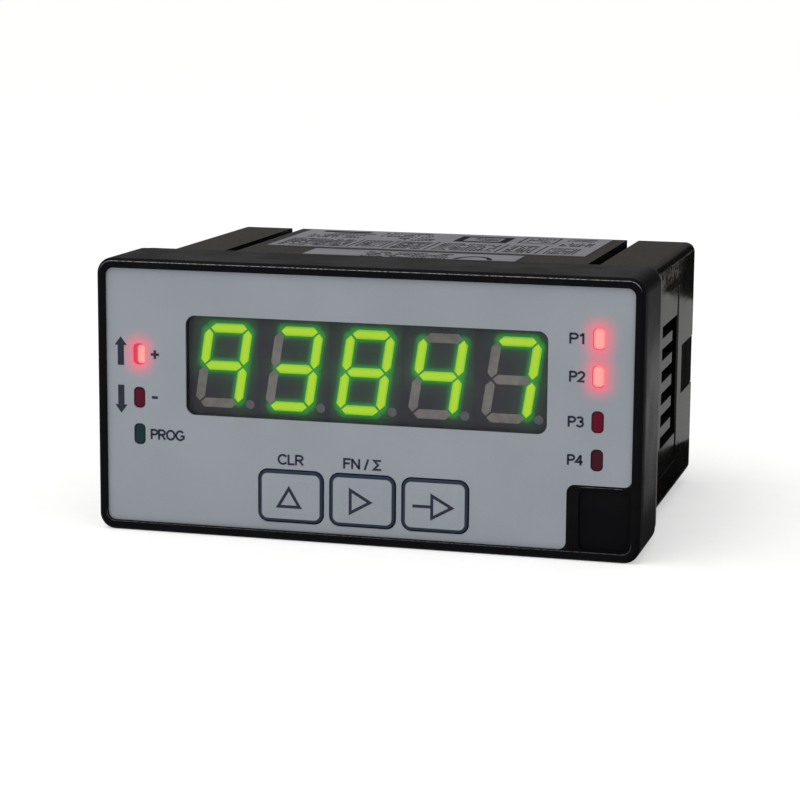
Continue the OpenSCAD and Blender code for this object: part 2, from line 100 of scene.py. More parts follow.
Flat = tuple[float, float]
Range = tuple[float, float]
Point = tuple[float, float, float]
Rgba = tuple[float, float, float, float]
Line = tuple[Flat, Flat]
Loop = list[bmesh.types.BMVert]
Mesh = bpy.types.Mesh
Socket = bpy.types.NodeSocket
Value = Union[float, Socket]

BLACK: Rgba = (0.0, 0.0, 0.0, 1.0)
RISE: Range = (0.0, 1.0)
FALL: Range = (1.0, 0.0)
NOISE_SPAN: Range = (0.3, 0.7)
QUARTER_TURN = math.pi / 2


# Colours, choices and outlines


def paint(red: float, green: float, blue: float) -> Rgba:
    """Turns a colour as it is seen on a screen into the linear one that a shader takes.

    Args:
        red: Red from 0 to 255.
        green: Green from 0 to 255.
        blue: Blue from 0 to 255.

    Returns:
        The linear colour with an alpha of 1.
    """

    def linear(channel: float) -> float:
        """Removes the screen's standard curve from one channel."""
        share = channel / 255.0
        return share / 12.92 if share <= 0.04045 else ((share + 0.055) / 1.055) ** 2.4

    return (linear(red), linear(green), linear(blue), 1.0)


class Axis(Enum):
    """One axis of the part's own frame."""

    X = "X"
    Y = "Y"
    Z = "Z"


class Side(Enum):
    """Which way a printed triangle points."""

    UP = "up"
    RIGHT = "right"


class Bar(Enum):
    """One bar of a seven-segment figure, by its two ends in shares of half the width and height."""

    A = ((-1, 1), (1, 1))
    B = ((1, 1), (1, 0))
    C = ((1, 0), (1, -1))
    D = ((-1, -1), (1, -1))
    E = ((-1, 0), (-1, -1))
    F = ((-1, 1), (-1, 0))
    G = ((-1, 0), (1, 0))


@dataclass(frozen=True)
class Patch:
    """A rounded rectangle, seen from the front."""

    middle: Flat
    size: Flat
    corner: float

    @classmethod
    def between(cls, low: Flat, high: Flat, corner: float) -> Patch:
        """The rounded rectangle between two corners.

        Args:
            low: Lower left corner.
            high: Upper right corner.
            corner: Radius of its corners.

        Returns:
            The rectangle.
        """
        middle = ((low[0] + high[0]) / 2, (low[1] + high[1]) / 2)
        size = (high[0] - low[0], high[1] - low[1])
        return cls(middle, size, corner)


# Finishes


class Shader:
    """One material under construction, with short ways to add and join its nodes."""

    # The Mix node's sockets go by number, because its kinds share their names.
    COLOUR_INPUTS = (0, 6, 7)
    COLOUR_OUTPUT = 2
    NUMBER_INPUTS = (0, 2, 3)
    EDGE_SAMPLES = 4

    def __init__(self, name: str) -> None:
        """Starts a material with a plain Principled shader.

        Args:
            name: The material's name.
        """
        self.material = bpy.data.materials.new(name)
        self.material.use_nodes = True
        self.tree = self.material.node_tree
        self.surface = self.tree.nodes["Principled BSDF"]
        self._place: Socket | None = None

    def node(self, kind: str, **settings: Any) -> bpy.types.Node:
        """Adds a node.

        Args:
            kind: The node's type name.
            **settings: Properties to set on it.

        Returns:
            The new node.
        """
        made = self.tree.nodes.new(kind)
        for key, value in settings.items():
            setattr(made, key, value)
        return made

    def feed(self, target: Socket, value: Any) -> None:
        """Links a socket to a target, or sets the target's own value.

        Args:
            target: The socket that takes the value.
            value: A socket to link, or a plain value.
        """
        if isinstance(value, bpy.types.NodeSocket):
            self.tree.links.new(value, target)
        else:
            target.default_value = value

    def set(self, values: dict[str, Any]) -> None:
        """Feeds the surface's sockets by name."""
        for key, value in values.items():
            self.feed(self.surface.inputs[key], value)

    def fed(self, name: str) -> Socket:
        """The socket that already feeds one of the surface's sockets."""
        return self.surface.inputs[name].links[0].from_socket

    def place(self) -> Socket:
        """The point on the piece, in millimetres.

        Returns:
            The point's socket, which is made once.
        """
        if self._place is None:
            point = self.node("ShaderNodeTexCoord").outputs["Object"]
            self._place = self.vector("MULTIPLY", point, (1.0 / MM,) * 3)
        return self._place

    def split(self, vector: Socket, axis: Axis) -> Socket:
        """One axis of a vector.

        Args:
            vector: The vector.
            axis: Which axis.

        Returns:
            The number along that axis.
        """
        made = self.node("ShaderNodeSeparateXYZ")
        self.feed(made.inputs[0], vector)
        return made.outputs[axis.value]

    def axis(self, axis: Axis) -> Socket:
        """One axis of the point on the piece, in millimetres."""
        return self.split(self.place(), axis)

    def facing(self, axis: Axis) -> Socket:
        """How far the surface faces along an axis, from -1 to 1."""
        return self.split(self.node("ShaderNodeTexCoord").outputs["Normal"], axis)

    def maths(self, operation: str, first: Value, second: Value = 0.0, clamp: bool = False) -> Socket:
        """Joins two numbers.

        Args:
            operation: The Math node's operation.
            first: First number or socket.
            second: Second number or socket.
            clamp: Whether the result is held between 0 and 1.

        Returns:
            The result's socket.
        """
        made = self.node("ShaderNodeMath", operation=operation, use_clamp=clamp)
        self.feed(made.inputs[0], first)
        self.feed(made.inputs[1], second)
        return made.outputs[0]

    def absolute(self, value: Socket) -> Socket:
        """A number without its sign."""
        return self.maths("ABSOLUTE", value)

    def fold(self, operation: str, *values: Value) -> Socket:
        """Joins a row of numbers with one operation, such as MINIMUM or ADD."""
        return reduce(lambda first, second: self.maths(operation, first, second), values)

    def product(self, *values: Value) -> Socket:
        """Multiplies a row of numbers."""
        return self.fold("MULTIPLY", *values)

    def vector(self, operation: str, first: Any, second: Any = (0.0, 0.0, 0.0)) -> Socket:
        """Joins two vectors.

        Args:
            operation: The Vector Math node's operation.
            first: First vector or socket.
            second: Second vector or socket.

        Returns:
            The vector, or the number for operations that give one.
        """
        made = self.node("ShaderNodeVectorMath", operation=operation)
        self.feed(made.inputs[0], first)
        self.feed(made.inputs[1], second)
        return made.outputs[1 if operation in {"DISTANCE", "DOT_PRODUCT"} else 0]

    def noise(self, size: float, detail: float = 2.0, stretch: Point = (1.0, 1.0, 1.0)) -> Socket:
        """Soft noise whose patches are about the given size.

        Args:
            size: Size of a patch in millimetres.
            detail: How many finer layers it has.
            stretch: Factors on the three axes; a small one draws the patches out.

        Returns:
            A number from 0 to 1.
        """
        made = self.node("ShaderNodeTexNoise")
        self.feed(made.inputs["Vector"], self.vector("MULTIPLY", self.place(), stretch))
        made.inputs["Scale"].default_value = 1.0 / size
        made.inputs["Detail"].default_value = detail
        return made.outputs[0]

    def spread(self, value: Socket, span: Range, out: Range = RISE, soft: bool = True) -> Socket:
        """Maps a range of a value onto another range, held at its ends.

        Args:
            value: The value.
            span: The range that it is taken from.
            out: The range that it is mapped onto.
            soft: Whether the ends are eased.

        Returns:
            The mapped value.
        """
        made = self.node("ShaderNodeMapRange", interpolation_type="SMOOTHSTEP" if soft else "LINEAR")
        names = ("Value", "From Min", "From Max", "To Min", "To Max")
        for key, entry in zip(names, (value, *span, *out)):
            self.feed(made.inputs[key], entry)
        return made.outputs[0]

    def about(self, noise: Socket, middle: float, give: float) -> Socket:
        """A number that wanders with a noise by some give either way."""
        return self.spread(noise, NOISE_SPAN, (middle - give, middle + give))

    def mix(self, share: Value, first: Any, second: Any) -> Socket:
        """Mixes two colours.

        Args:
            share: Share of the second colour.
            first: First colour or socket.
            second: Second colour or socket.

        Returns:
            The mixed colour.
        """
        made = self.node("ShaderNodeMix", data_type="RGBA")
        for i, value in zip(self.COLOUR_INPUTS, (share, first, second)):
            self.feed(made.inputs[i], value)
        return made.outputs[self.COLOUR_OUTPUT]

    def number(self, share: Value, first: Value, second: Value) -> Socket:
        """Mixes two numbers.

        Args:
            share: Share of the second number.
            first: First number or socket.
            second: Second number or socket.

        Returns:
            The mixed number.
        """
        made = self.node("ShaderNodeMix", data_type="FLOAT")
        for i, value in zip(self.NUMBER_INPUTS, (share, first, second)):
            self.feed(made.inputs[i], value)
        return made.outputs[0]

    def relief(self, height: Socket, depth: float, edge: float = 0.0) -> None:
        """Gives the surface a fine relief and softened edges.

        Args:
            height: Height from 0 to 1.
            depth: Depth of the relief in millimetres.
            edge: Radius in millimetres at which hard edges catch the light.
        """
        bump = self.node("ShaderNodeBump")
        bump.inputs["Distance"].default_value = depth * MM
        self.feed(bump.inputs["Height"], height)
        if edge:
            bevel = self.node("ShaderNodeBevel", samples=self.EDGE_SAMPLES)
            bevel.inputs["Radius"].default_value = edge * MM
            self.feed(bump.inputs["Normal"], bevel.outputs[0])
        self.set({"Normal": bump.outputs[0]})

    def inside(self, patch: Patch) -> Socket:
        """Depth inside the edge of a rounded rectangle, seen from the front.

        Args:
            patch: The rectangle.

        Returns:
            The depth in millimetres, negative outside.
        """
        x = self.absolute(self.maths("SUBTRACT", self.axis(Axis.X), patch.middle[0]))
        z = self.absolute(self.maths("SUBTRACT", self.axis(Axis.Z), patch.middle[1]))
        over_x = self.maths("SUBTRACT", x, patch.size[0] / 2 - patch.corner)
        over_z = self.maths("SUBTRACT", z, patch.size[1] / 2 - patch.corner)
        out_x = self.maths("MAXIMUM", over_x, 0.0)
        out_z = self.maths("MAXIMUM", over_z, 0.0)
        squares = self.maths("ADD", self.product(out_x, out_x), self.product(out_z, out_z))
        outer = self.maths("SQRT", squares)
        inner = self.maths("MINIMUM", self.maths("MAXIMUM", over_x, over_z), 0.0)
        return self.maths("SUBTRACT", patch.corner, self.maths("ADD", outer, inner))

    def bar_gaps(self, bars: Sequence[Line]) -> list[Socket]:
        """Distance from each of several straight bars, seen from the front.

        Args:
            bars: Ends of each bar's middle line, as (x, z) pairs.

        Returns:
            The distances in millimetres.
        """
        flat = self.vector("MULTIPLY", self.place(), (1.0, 0.0, 1.0))
        gaps: list[Socket] = []
        for start, end in bars:
            run = Vector((end[0] - start[0], 0.0, end[1] - start[1]))
            arm = self.vector("SUBTRACT", flat, (start[0], 0.0, start[1]))
            share = self.vector("DOT_PRODUCT", arm, tuple(run / run.length_squared))
            held = self.maths("MINIMUM", self.maths("MAXIMUM", share, 0.0), 1.0)
            foot = self.node("ShaderNodeVectorMath", operation="SCALE")
            foot.inputs[0].default_value = tuple(run)
            self.feed(foot.inputs["Scale"], held)
            gaps.append(self.vector("DISTANCE", arm, foot.outputs[0]))
        return gaps


@dataclass(frozen=True, kw_only=True)
class Finish:
    """A finish, which is made into a material by its own coat of nodes.

    The roughness wanders by some give either way. The depth of the relief, and the radius at which
    hard edges catch the light, are in millimetres.
    """

    name: str
    roughness: float
    give: float = 0.05
    specular: float = 0.5
    metallic: float = 0.0
    depth: float = 0.004
    edge: float = 0.0

    def coat(self, shader: Shader) -> None:
        """Adds the finish's nodes to a shader."""

    def skin(self, shader: Shader, colour: Socket, cloud: Socket, height: Socket) -> None:
        """Sets the colour, the gloss and the relief.

        Args:
            shader: The shader.
            colour: The colour.
            cloud: The noise that the gloss wanders with.
            height: Height of the relief, from 0 to 1.
        """
        shader.set({
            "Base Color": colour,
            "Roughness": shader.about(cloud, self.roughness, self.give),
            "Metallic": self.metallic,
            "Specular IOR Level": self.specular,
        })
        shader.relief(height, self.depth, self.edge)

    def make(self) -> bpy.types.Material:
        """Makes the material.

        Returns:
            The material.
        """
        shader = Shader(self.name)
        self.coat(shader)
        return shader.material


@dataclass(frozen=True, kw_only=True)
class MouldedPlastic(Finish):
    """Moulded plastic with a fine grain, cloudy gloss and lightly rubbed patches."""

    colour: Rgba
    rubbed: Rgba
    depth: float = 0.006
    edge: float = 0.15
    cloud_size: float = 9.0
    grain_size: float = 0.25
    rub_span: Range = (0.45, 0.75)
    grain_span: Range = (0.35, 0.7)
    grain_share: Range = (0.4, 1.0)

    def coat(self, shader: Shader) -> None:
        """Adds its nodes.

        Args:
            shader: The shader.
        """
        cloud = shader.noise(self.cloud_size, detail=3.0)
        fine = shader.noise(self.grain_size)
        rub_and_highlight = shader.product(
            shader.spread(cloud, self.rub_span),
            shader.spread(fine, self.grain_span, self.grain_share),
        )
        self.skin(shader, shader.mix(rub_and_highlight, self.colour, self.rubbed), cloud, fine)


@dataclass(frozen=True, kw_only=True)
class BezelPlastic(MouldedPlastic):
    """The front frame's plastic, with painted highlight lines along the upper edge, below the film and
    along the pad, and a painted red glow round the lit lights.
    """

    front: float
    outer: Patch
    inner: Patch
    lit: tuple[Patch, ...]
    # Colour of the painted highlight lines along the edges.
    painted_highlight: Rgba
    highlight_polish: float = 0.25
    line_edge: Range = (0.03, 0.072)
    upper_line: float = 0.52
    upper_heights: Range = (21.6, 23.1)
    lower_line: float = -0.14
    lower_heights: Range = (-22.0, -20.0)
    lower_share: float = 0.35
    pad_line: float = -11.42
    pad_start: Range = (37.2, 38.2)
    pad_end: Range = (44.4, 45.4)
    pad_share: float = 0.4
    front_depth: Range = (0.45, 0.75)
    break_size: float = 0.45
    break_span: Range = (0.34, 0.62)
    break_share: Range = (0.2, 1.0)
    side_roughness: float = 0.25
    side_facing: Range = (0.9, 0.99)
    side_start: Range = (-18.0, -15.2)
    shine_top: Range = (6.0, 16.0)
    shine_share: float = 0.45
    shine_foot: Range = (-19.5, -12.5)
    # Painted light: a thin band of the frame right round each lit light glows red, as emission.
    glow: Rgba = (1.0, 0.02, 0.09, 1.0)
    leak_span: Range = (-0.3, -0.05)
    leak_strength: float = 0.7

    def coat(self, shader: Shader) -> None:
        """Adds its nodes.

        Args:
            shader: The shader.
        """
        super().coat(shader)
        # The worn lines are painted highlights along the edges; they also take some roughness off.
        rub_and_highlight = self.highlight_lines(shader)
        smooth = shader.fold("MAXIMUM", self.side_polish(shader), shader.product(rub_and_highlight, self.highlight_polish))
        out = (0.0, self.leak_strength)
        leaks = (shader.spread(shader.inside(light), self.leak_span, out) for light in self.lit)
        shader.set({
            "Base Color": shader.mix(rub_and_highlight, shader.fed("Base Color"), self.painted_highlight),
            "Roughness": shader.maths("SUBTRACT", shader.fed("Roughness"), smooth),
            "Emission Color": self.glow,
            "Emission Strength": shader.fold("MAXIMUM", *leaks),
        })

    def highlight_lines(self, shader: Shader) -> Socket:
        """Painted highlight: thin broken lines along the upper edge, below the film and along the pad.

        Args:
            shader: The shader.

        Returns:
            The share of the painted highlight colour.
        """
        height = shader.axis(Axis.Z)
        along = shader.axis(Axis.X)
        upper = shader.product(
            self.line(shader, shader.inside(self.outer), self.upper_line),
            shader.spread(height, self.upper_heights),
        )
        lower = shader.product(
            self.line(shader, shader.inside(self.inner), self.lower_line),
            shader.spread(height, self.lower_heights, (self.lower_share, 0.0)),
        )
        pad = shader.product(
            self.line(shader, height, self.pad_line),
            shader.spread(along, self.pad_start, (0.0, self.pad_share)),
            shader.spread(along, self.pad_end, FALL),
        )
        near, far = (self.front + depth for depth in self.front_depth)
        ahead = shader.spread(shader.axis(Axis.Y), (near, far), FALL)
        flecks = shader.noise(self.break_size, detail=3.0)
        broken = shader.spread(flecks, self.break_span, self.break_share)
        return shader.product(shader.fold("MAXIMUM", upper, lower, pad), ahead, broken)

    def line(self, shader: Shader, gap: Socket, middle: float) -> Socket:
        """A soft line at one distance from an edge."""
        away = shader.absolute(shader.maths("SUBTRACT", gap, middle))
        return shader.spread(away, self.line_edge, FALL)

    def side_polish(self, shader: Shader) -> Socket:
        """Smoothness that the two sides have over the rest.

        Args:
            shader: The shader.

        Returns:
            How much is taken off the roughness.
        """
        height = shader.axis(Axis.Z)
        return shader.product(
            shader.spread(shader.absolute(shader.facing(Axis.X)), self.side_facing),
            shader.spread(shader.axis(Axis.Y), self.side_start),
            shader.spread(height, self.shine_top, (1.0, self.shine_share)),
            shader.spread(height, self.shine_foot),
            self.roughness - self.side_roughness,
        )


@dataclass(frozen=True, kw_only=True)
class PolishedPlastic(Finish):
    """Moulded plastic with polished, scuffed sides, a grained top and bottom painted lighter than the
    sides, painted shade in the grooves and slots, and a painted highlight on faces that face the front.
    """

    colour: Rgba
    streak: Rgba
    lit_level_colour: Rgba
    recess_shade_colour: Rgba
    lip_highlight_colour: Rgba
    scuff_colour: Rgba
    grained: float
    wall: Patch
    depth: float = 0.03
    edge: float = 0.1
    give: float = 0.03
    grain_give: float = 0.05
    edge_roughness: float = 0.28
    deep_roughness: float = 0.95
    cloud_size: float = 12.0
    grain_size: float = 0.3
    draw_size: float = 0.6
    draw_stretch: Point = (1.0, 0.12, 1.0)
    draw_heights: Range = (14.0, 20.0)
    draw_share: Range = (0.08, 0.4)
    streak_span: Range = (0.52, 0.78)
    streak_share: float = 0.8
    streak_dulling: float = 0.1
    level_facing: Range = (0.05, 0.4)
    flat_facing: Range = (0.7, 1.0)
    open_heights: Range = (20.0, 21.0)
    deep_span: Range = (0.2, 0.5)
    lip_facing: Range = (-0.95, -0.6)
    lip_heights: Range = (-13.0, -6.0)
    scuff_dulling: float = 0.28
    scuff_heights: Range = (17.4, 19.2)
    scuff_depths: Range = (26.0, 44.0)
    scuff_sides: Range = (44.8, 45.3)
    scuff_size: float = 0.34
    scuff_stretch: Point = (1.0, 0.5, 0.3)
    scuff_span: Range = (0.4, 0.62)

    def coat(self, shader: Shader) -> None:
        """Adds its nodes.

        Args:
            shader: The shader.
        """
        height = shader.axis(Axis.Z)
        apart = shader.absolute(height)
        upright = shader.absolute(shader.facing(Axis.Z))
        level = shader.spread(upright, self.level_facing)
        flat = shader.spread(upright, self.flat_facing)
        drawn = shader.noise(self.draw_size, detail=3.0, stretch=self.draw_stretch)
        streak = shader.spread(drawn, self.streak_span, (0.0, self.streak_share))
        scuff = shader.product(self.scuffs(shader), shader.maths("SUBTRACT", 1.0, level))
        # Painted shade: deep in the grooves and slots the colour turns near black.
        deep = shader.spread(shader.inside(self.wall), self.deep_span)
        # Painted highlight on faces that face the front, fading out lower down.
        lip = shader.product(
            shader.spread(shader.facing(Axis.Y), self.lip_facing, FALL),
            shader.spread(height, self.lip_heights),
        )
        side = shader.mix(streak, self.colour, self.streak)
        # The flat outer top and bottom take the lighter level colour: painted light.
        open_flat = shader.product(flat, shader.spread(apart, self.open_heights))
        skin = shader.mix(level, side, shader.mix(open_flat, self.colour, self.lit_level_colour))
        skin = shader.mix(scuff, skin, self.scuff_colour)
        shader.set({
            "Base Color": shader.mix(deep, shader.mix(lip, skin, self.lip_highlight_colour), self.recess_shade_colour),
            "Roughness": self.dulled(shader, (streak, scuff, level, flat, deep)),
            "Specular IOR Level": self.specular,
        })
        rim = shader.spread(apart, self.draw_heights, self.draw_share)
        shader.relief(shader.product(drawn, rim), self.depth, self.edge)

    def dulled(self, shader: Shader, masks: tuple[Socket, ...]) -> Socket:
        """Roughness of the walls, the long edges, the top and bottom, and the slots.

        Args:
            shader: The shader.
            masks: Where it is streaked, scuffed, turned up, flat and deep.

        Returns:
            The roughness.
        """
        streak, scuff, level, flat, deep = masks
        streaked = shader.product(streak, self.streak_dulling)
        marked = shader.fold("MAXIMUM", streaked, shader.product(scuff, self.scuff_dulling))
        wall = shader.about(shader.noise(self.cloud_size), self.roughness, self.give)
        wall = shader.maths("ADD", wall, marked)
        grain = shader.about(shader.noise(self.grain_size), self.grained, self.grain_give)
        gloss = shader.number(flat, shader.number(level, wall, self.edge_roughness), grain)
        return shader.maths("MAXIMUM", gloss, shader.product(deep, self.deep_roughness))

    def scuffs(self, shader: Shader) -> Socket:
        """Fine scratches below the long upper edges, thickest at the front.

        Args:
            shader: The shader.

        Returns:
            The share of the scuffed colour.
        """
        scratches = shader.noise(self.scuff_size, detail=4.0, stretch=self.scuff_stretch)
        return shader.product(
            shader.spread(shader.axis(Axis.Z), self.scuff_heights),
            shader.spread(shader.axis(Axis.Y), self.scuff_depths, FALL),
            shader.spread(shader.absolute(shader.axis(Axis.X)), self.scuff_sides),
            shader.spread(scratches, self.scuff_span),
        )


@dataclass(frozen=True, kw_only=True)
class Rubber(Finish):
    """Dull black rubber with a powdery bloom, and a painted highlight on the sides that face left and
    right.
    """

    colour: Rgba
    bloom: Rgba
    side_highlight: Rgba
    roughness: float = 0.79
    give: float = 0.07
    specular: float = 0.2
    depth: float = 0.02
    edge: float = 0.2
    cloud_size: float = 3.0
    bloom_span: Range = (0.4, 0.7)
    highlight_facing: Range = (0.8, 0.95)
    grain_size: float = 0.35

    def coat(self, shader: Shader) -> None:
        """Adds its nodes.

        Args:
            shader: The shader.
        """
        fine = shader.noise(self.grain_size)
        powder = shader.spread(shader.noise(self.cloud_size, detail=4.0), self.bloom_span)
        # The paler cut colour on the sides is a painted highlight.
        side = shader.spread(shader.absolute(shader.facing(Axis.X)), self.highlight_facing)
        colour = shader.mix(side, shader.mix(powder, self.colour, self.bloom), self.side_highlight)
        self.skin(shader, colour, fine, fine)


@dataclass(frozen=True, kw_only=True)
class Film(Finish):
    """Satin grey front film with a faint grain."""

    colour: Rgba
    grain: Rgba
    roughness: float = 0.54
    give: float = 0.04
    specular: float = 0.12
    edge: float = 0.1
    cloud_size: float = 16.0
    grain_size: float = 0.16
    grain_span: Range = (0.35, 0.65)

    def coat(self, shader: Shader) -> None:
        """Adds its nodes.

        Args:
            shader: The shader.
        """
        fine = shader.noise(self.grain_size)
        cloud = shader.noise(self.cloud_size)
        shade = shader.maths("ADD", shader.product(fine, 0.5), shader.product(cloud, 0.5))
        colour = shader.mix(shader.spread(shade, self.grain_span), self.colour, self.grain)
        self.skin(shader, colour, cloud, self.height(shader, fine))

    def height(self, shader: Shader, fine: Socket) -> Socket:
        """Height of the film's relief, which is its grain."""
        return fine


@dataclass(frozen=True, kw_only=True)
class PanelFilm(Film):
    """The whole front film: panels with rounded corners, and a glow round each lit light."""

    panels: tuple[Patch, ...]
    lit: tuple[Patch, ...]
    blank: Rgba
    glow: Rgba
    panel_edge: Range = (-0.06, 0.04)
    reach: float = 3.2
    falloff: float = 2.0
    tint: float = 0.4
    strength: float = 0.29

    def coat(self, shader: Shader) -> None:
        """Adds its nodes.

        Args:
            shader: The shader.
        """
        super().coat(shader)
        depth = shader.fold("MAXIMUM", *(shader.inside(panel) for panel in self.panels))
        bare = shader.spread(depth, self.panel_edge, FALL)
        base = shader.mix(bare, shader.fed("Base Color"), self.blank)
        total = shader.fold("ADD", *(self.halo(shader, light) for light in self.lit))
        # The glow is also painted into the base colour by this share.
        share = shader.maths("MULTIPLY", total, self.tint, clamp=True)
        shader.set({
            "Base Color": shader.mix(share, base, self.glow),
            "Emission Color": self.glow,
            "Emission Strength": shader.product(total, self.strength),
        })

    def halo(self, shader: Shader, light: Patch) -> Socket:
        """The glow round one light, which falls off with distance."""
        near = shader.spread(shader.inside(light), (-self.reach, 0.0), soft=False)
        return shader.maths("POWER", near, self.falloff)


@dataclass(frozen=True, kw_only=True)
class KeyFilm(Film):
    """The front film over one key, which swells slightly, with a printed border along its edge."""

    key: Patch
    border: Rgba
    border_edge: Range = (0.49, 0.61)
    swell_span: Range = (0.7, 2.0)
    swell_share: float = 0.95
    depth: float = 0.08

    def coat(self, shader: Shader) -> None:
        """Adds its nodes.

        Args:
            shader: The shader.
        """
        super().coat(shader)
        printed = shader.spread(shader.inside(self.key), self.border_edge, FALL)
        shader.set({"Base Color": shader.mix(printed, shader.fed("Base Color"), self.border)})

    def height(self, shader: Shader, fine: Socket) -> Socket:
        """Height of the key's relief, which is its grain and a middle that swells."""
        middle = shader.spread(shader.inside(self.key), self.swell_span, (0.0, self.swell_share))
        return shader.maths("ADD", middle, shader.product(fine, 1.0 - self.swell_share))


@dataclass(frozen=True, kw_only=True)
class TintedLens(Finish):
    """Smoked clear plastic that lets most of what is behind it through."""

    colour: Rgba
    dust: Rgba
    alpha: float
    roughness: float = 0.24
    give: float = 0.04
    specular: float = 0.16
    cloud_size: float = 18.0
    grain_size: float = 0.3

    def coat(self, shader: Shader) -> None:
        """Adds its nodes.

        Args:
            shader: The shader.
        """
        cloud = shader.noise(self.cloud_size)
        colour = shader.mix(shader.spread(cloud, NOISE_SPAN), self.colour, self.dust)
        self.skin(shader, colour, shader.noise(self.grain_size, detail=3.0), cloud)
        shader.set({"Alpha": self.alpha})


@dataclass(frozen=True, kw_only=True)
class DigitFace(Finish):
    """Dark face of a digit, on which the lit bars spill light."""

    colour: Rgba
    grain: Rgba
    spill: Rgba
    bars: tuple[Line, ...]
    half_width: float
    roughness: float = 0.6
    specular: float = 0.2
    depth: float = 0.005
    edge: float = 0.1
    reach: float = 0.75
    strength: float = 0.45
    far_reach: float = 4.0
    far_strength: float = 0.08
    falloff: float = 2.0
    grain_size: float = 0.2
    grain_span: Range = (0.35, 0.65)

    def coat(self, shader: Shader) -> None:
        """Adds its nodes.

        Args:
            shader: The shader.
        """
        fine = shader.noise(self.grain_size)
        colour = shader.mix(shader.spread(fine, self.grain_span), self.colour, self.grain)
        self.skin(shader, colour, fine, fine)
        gaps = shader.bar_gaps(self.bars)
        near_span = (self.half_width, self.half_width + self.reach)
        far_span = (self.half_width, self.half_width + self.far_reach)
        nearest = shader.fold("MINIMUM", *gaps)
        near = shader.spread(nearest, near_span, (self.strength, 0.0), soft=False)
        falls = (shader.spread(gap, far_span, FALL, soft=False) for gap in gaps)
        far = shader.fold("ADD", *(shader.maths("POWER", fall, self.falloff) for fall in falls))
        shader.set({
            "Emission Color": self.spill,
            "Emission Strength": shader.maths("ADD", near, shader.product(far, self.far_strength)),
        })


@dataclass(frozen=True, kw_only=True)
class LitBars(Finish):
    """Light windows of the lit bars: bright along the middle, greener towards the edges."""

    core: Rgba
    rim: Rgba
    bars: tuple[Line, ...]
    half_width: float
    roughness: float = 0.45
    strength: float = 1.0
    cloud_size: float = 0.5
    cloud_span: Range = (0.2, 0.8)
    uneven: Range = (-0.06, 0.06)
    rim_span: Range = (0.45, 0.9)

    def coat(self, shader: Shader) -> None:
        """Adds its nodes.

        Args:
            shader: The shader.
        """
        fine = shader.noise(self.cloud_size)
        gap = shader.fold("MINIMUM", *shader.bar_gaps(self.bars))
        wavy = shader.maths("ADD", gap, shader.spread(fine, self.cloud_span, self.uneven))
        start, end = (share * self.half_width for share in self.rim_span)
        edge = shader.spread(wavy, (start, end))
        shader.set({
            "Base Color": shader.mix(edge, self.rim, self.core),
            "Roughness": shader.about(fine, self.roughness, self.give),
            "Emission Color": shader.mix(edge, self.core, self.rim),
            "Emission Strength": self.strength,
        })


@dataclass(frozen=True, kw_only=True)
class Diffuser(Finish):
    """Milky light windows of the unlit bars, and darker ones of the points."""

    colour: Rgba
    shade: Rgba
    point_colour: Rgba
    points: tuple[Patch, ...]
    roughness: float = 0.47
    specular: float = 0.3
    point_edge: Range = (-0.1, 0.0)
    cloud_size: float = 1.2
    cloud_span: Range = (0.35, 0.65)

    def coat(self, shader: Shader) -> None:
        """Adds its nodes.

        Args:
            shader: The shader.
        """
        cloud = shader.noise(self.cloud_size, detail=3.0)
        bar = shader.mix(shader.spread(cloud, self.cloud_span), self.colour, self.shade)
        depth = shader.fold("MAXIMUM", *(shader.inside(point) for point in self.points))
        point = shader.spread(depth, self.point_edge)
        self.skin(shader, shader.mix(point, bar, self.point_colour), cloud, cloud)


@dataclass(frozen=True, kw_only=True)
class Lamp(Finish):
    """Coloured lens of an indicator light, dark inside."""

    colour: Rgba
    edge_colour: Rgba
    patch: Patch
    roughness: float = 0.34
    give: float = 0.04
    specular: float = 0.08
    depth: float = 0.003
    edge: float = 0.2
    rim_span: Range = (0.0, 0.36)
    grain_size: float = 0.4

    def rim(self, shader: Shader) -> Socket:
        """The share of the rim's colour."""
        return shader.spread(shader.inside(self.patch), self.rim_span, FALL)

    def coat(self, shader: Shader) -> None:
        """Adds its nodes.

        Args:
            shader: The shader.
        """
        fine = shader.noise(self.grain_size)
        # The lens takes its edge colour towards its outline: painted shade.
        colour = shader.mix(self.rim(shader), self.colour, self.edge_colour)
        self.skin(shader, colour, fine, fine)


@dataclass(frozen=True, kw_only=True)
class LitLamp(Lamp):
    """Coloured lens of an indicator light, lit from inside."""

    core: Rgba
    halo: Rgba
    strength: float = 1.0

    def coat(self, shader: Shader) -> None:
        """Adds its nodes.

        Args:
            shader: The shader.
        """
        super().coat(shader)
        glow = shader.mix(self.rim(shader), self.core, self.halo)
        shader.set({"Emission Color": glow, "Emission Strength": self.strength})


@dataclass(frozen=True, kw_only=True)
class Ink(Finish):
    """Screen-printed ink with a slightly uneven coat."""

    colour: Rgba
    thin: Rgba
    roughness: float = 0.56
    give: float = 0.06
    specular: float = 0.12
    depth: float = 0.002
    grain_size: float = 0.12
    thin_span: Range = (0.4, 0.75)

    def coat(self, shader: Shader) -> None:
        """Adds its nodes.

        Args:
            shader: The shader.
        """
        fine = shader.noise(self.grain_size)
        colour = shader.mix(shader.spread(fine, self.thin_span), self.colour, self.thin)
        self.skin(shader, colour, fine, fine)


@dataclass(frozen=True, kw_only=True)
class FoilLabel(Finish):
    """Satin silver label stock, drawn in one direction."""

    colour: Rgba
    bright: Rgba
    roughness: float = 0.56
    give: float = 0.06
    specular: float = 0.06
    metallic: float = 0.1
    depth: float = 0.002
    draw_size: float = 0.4
    draw_stretch: Point = (0.06, 1.0, 1.0)
    draw_span: Range = (0.35, 0.65)
    cloud_size: float = 10.0

    def coat(self, shader: Shader) -> None:
        """Adds its nodes.

        Args:
            shader: The shader.
        """
        drawn = shader.noise(self.draw_size, detail=3.0, stretch=self.draw_stretch)
        colour = shader.mix(shader.spread(drawn, self.draw_span), self.colour, self.bright)
        self.skin(shader, colour, shader.noise(self.cloud_size), drawn)


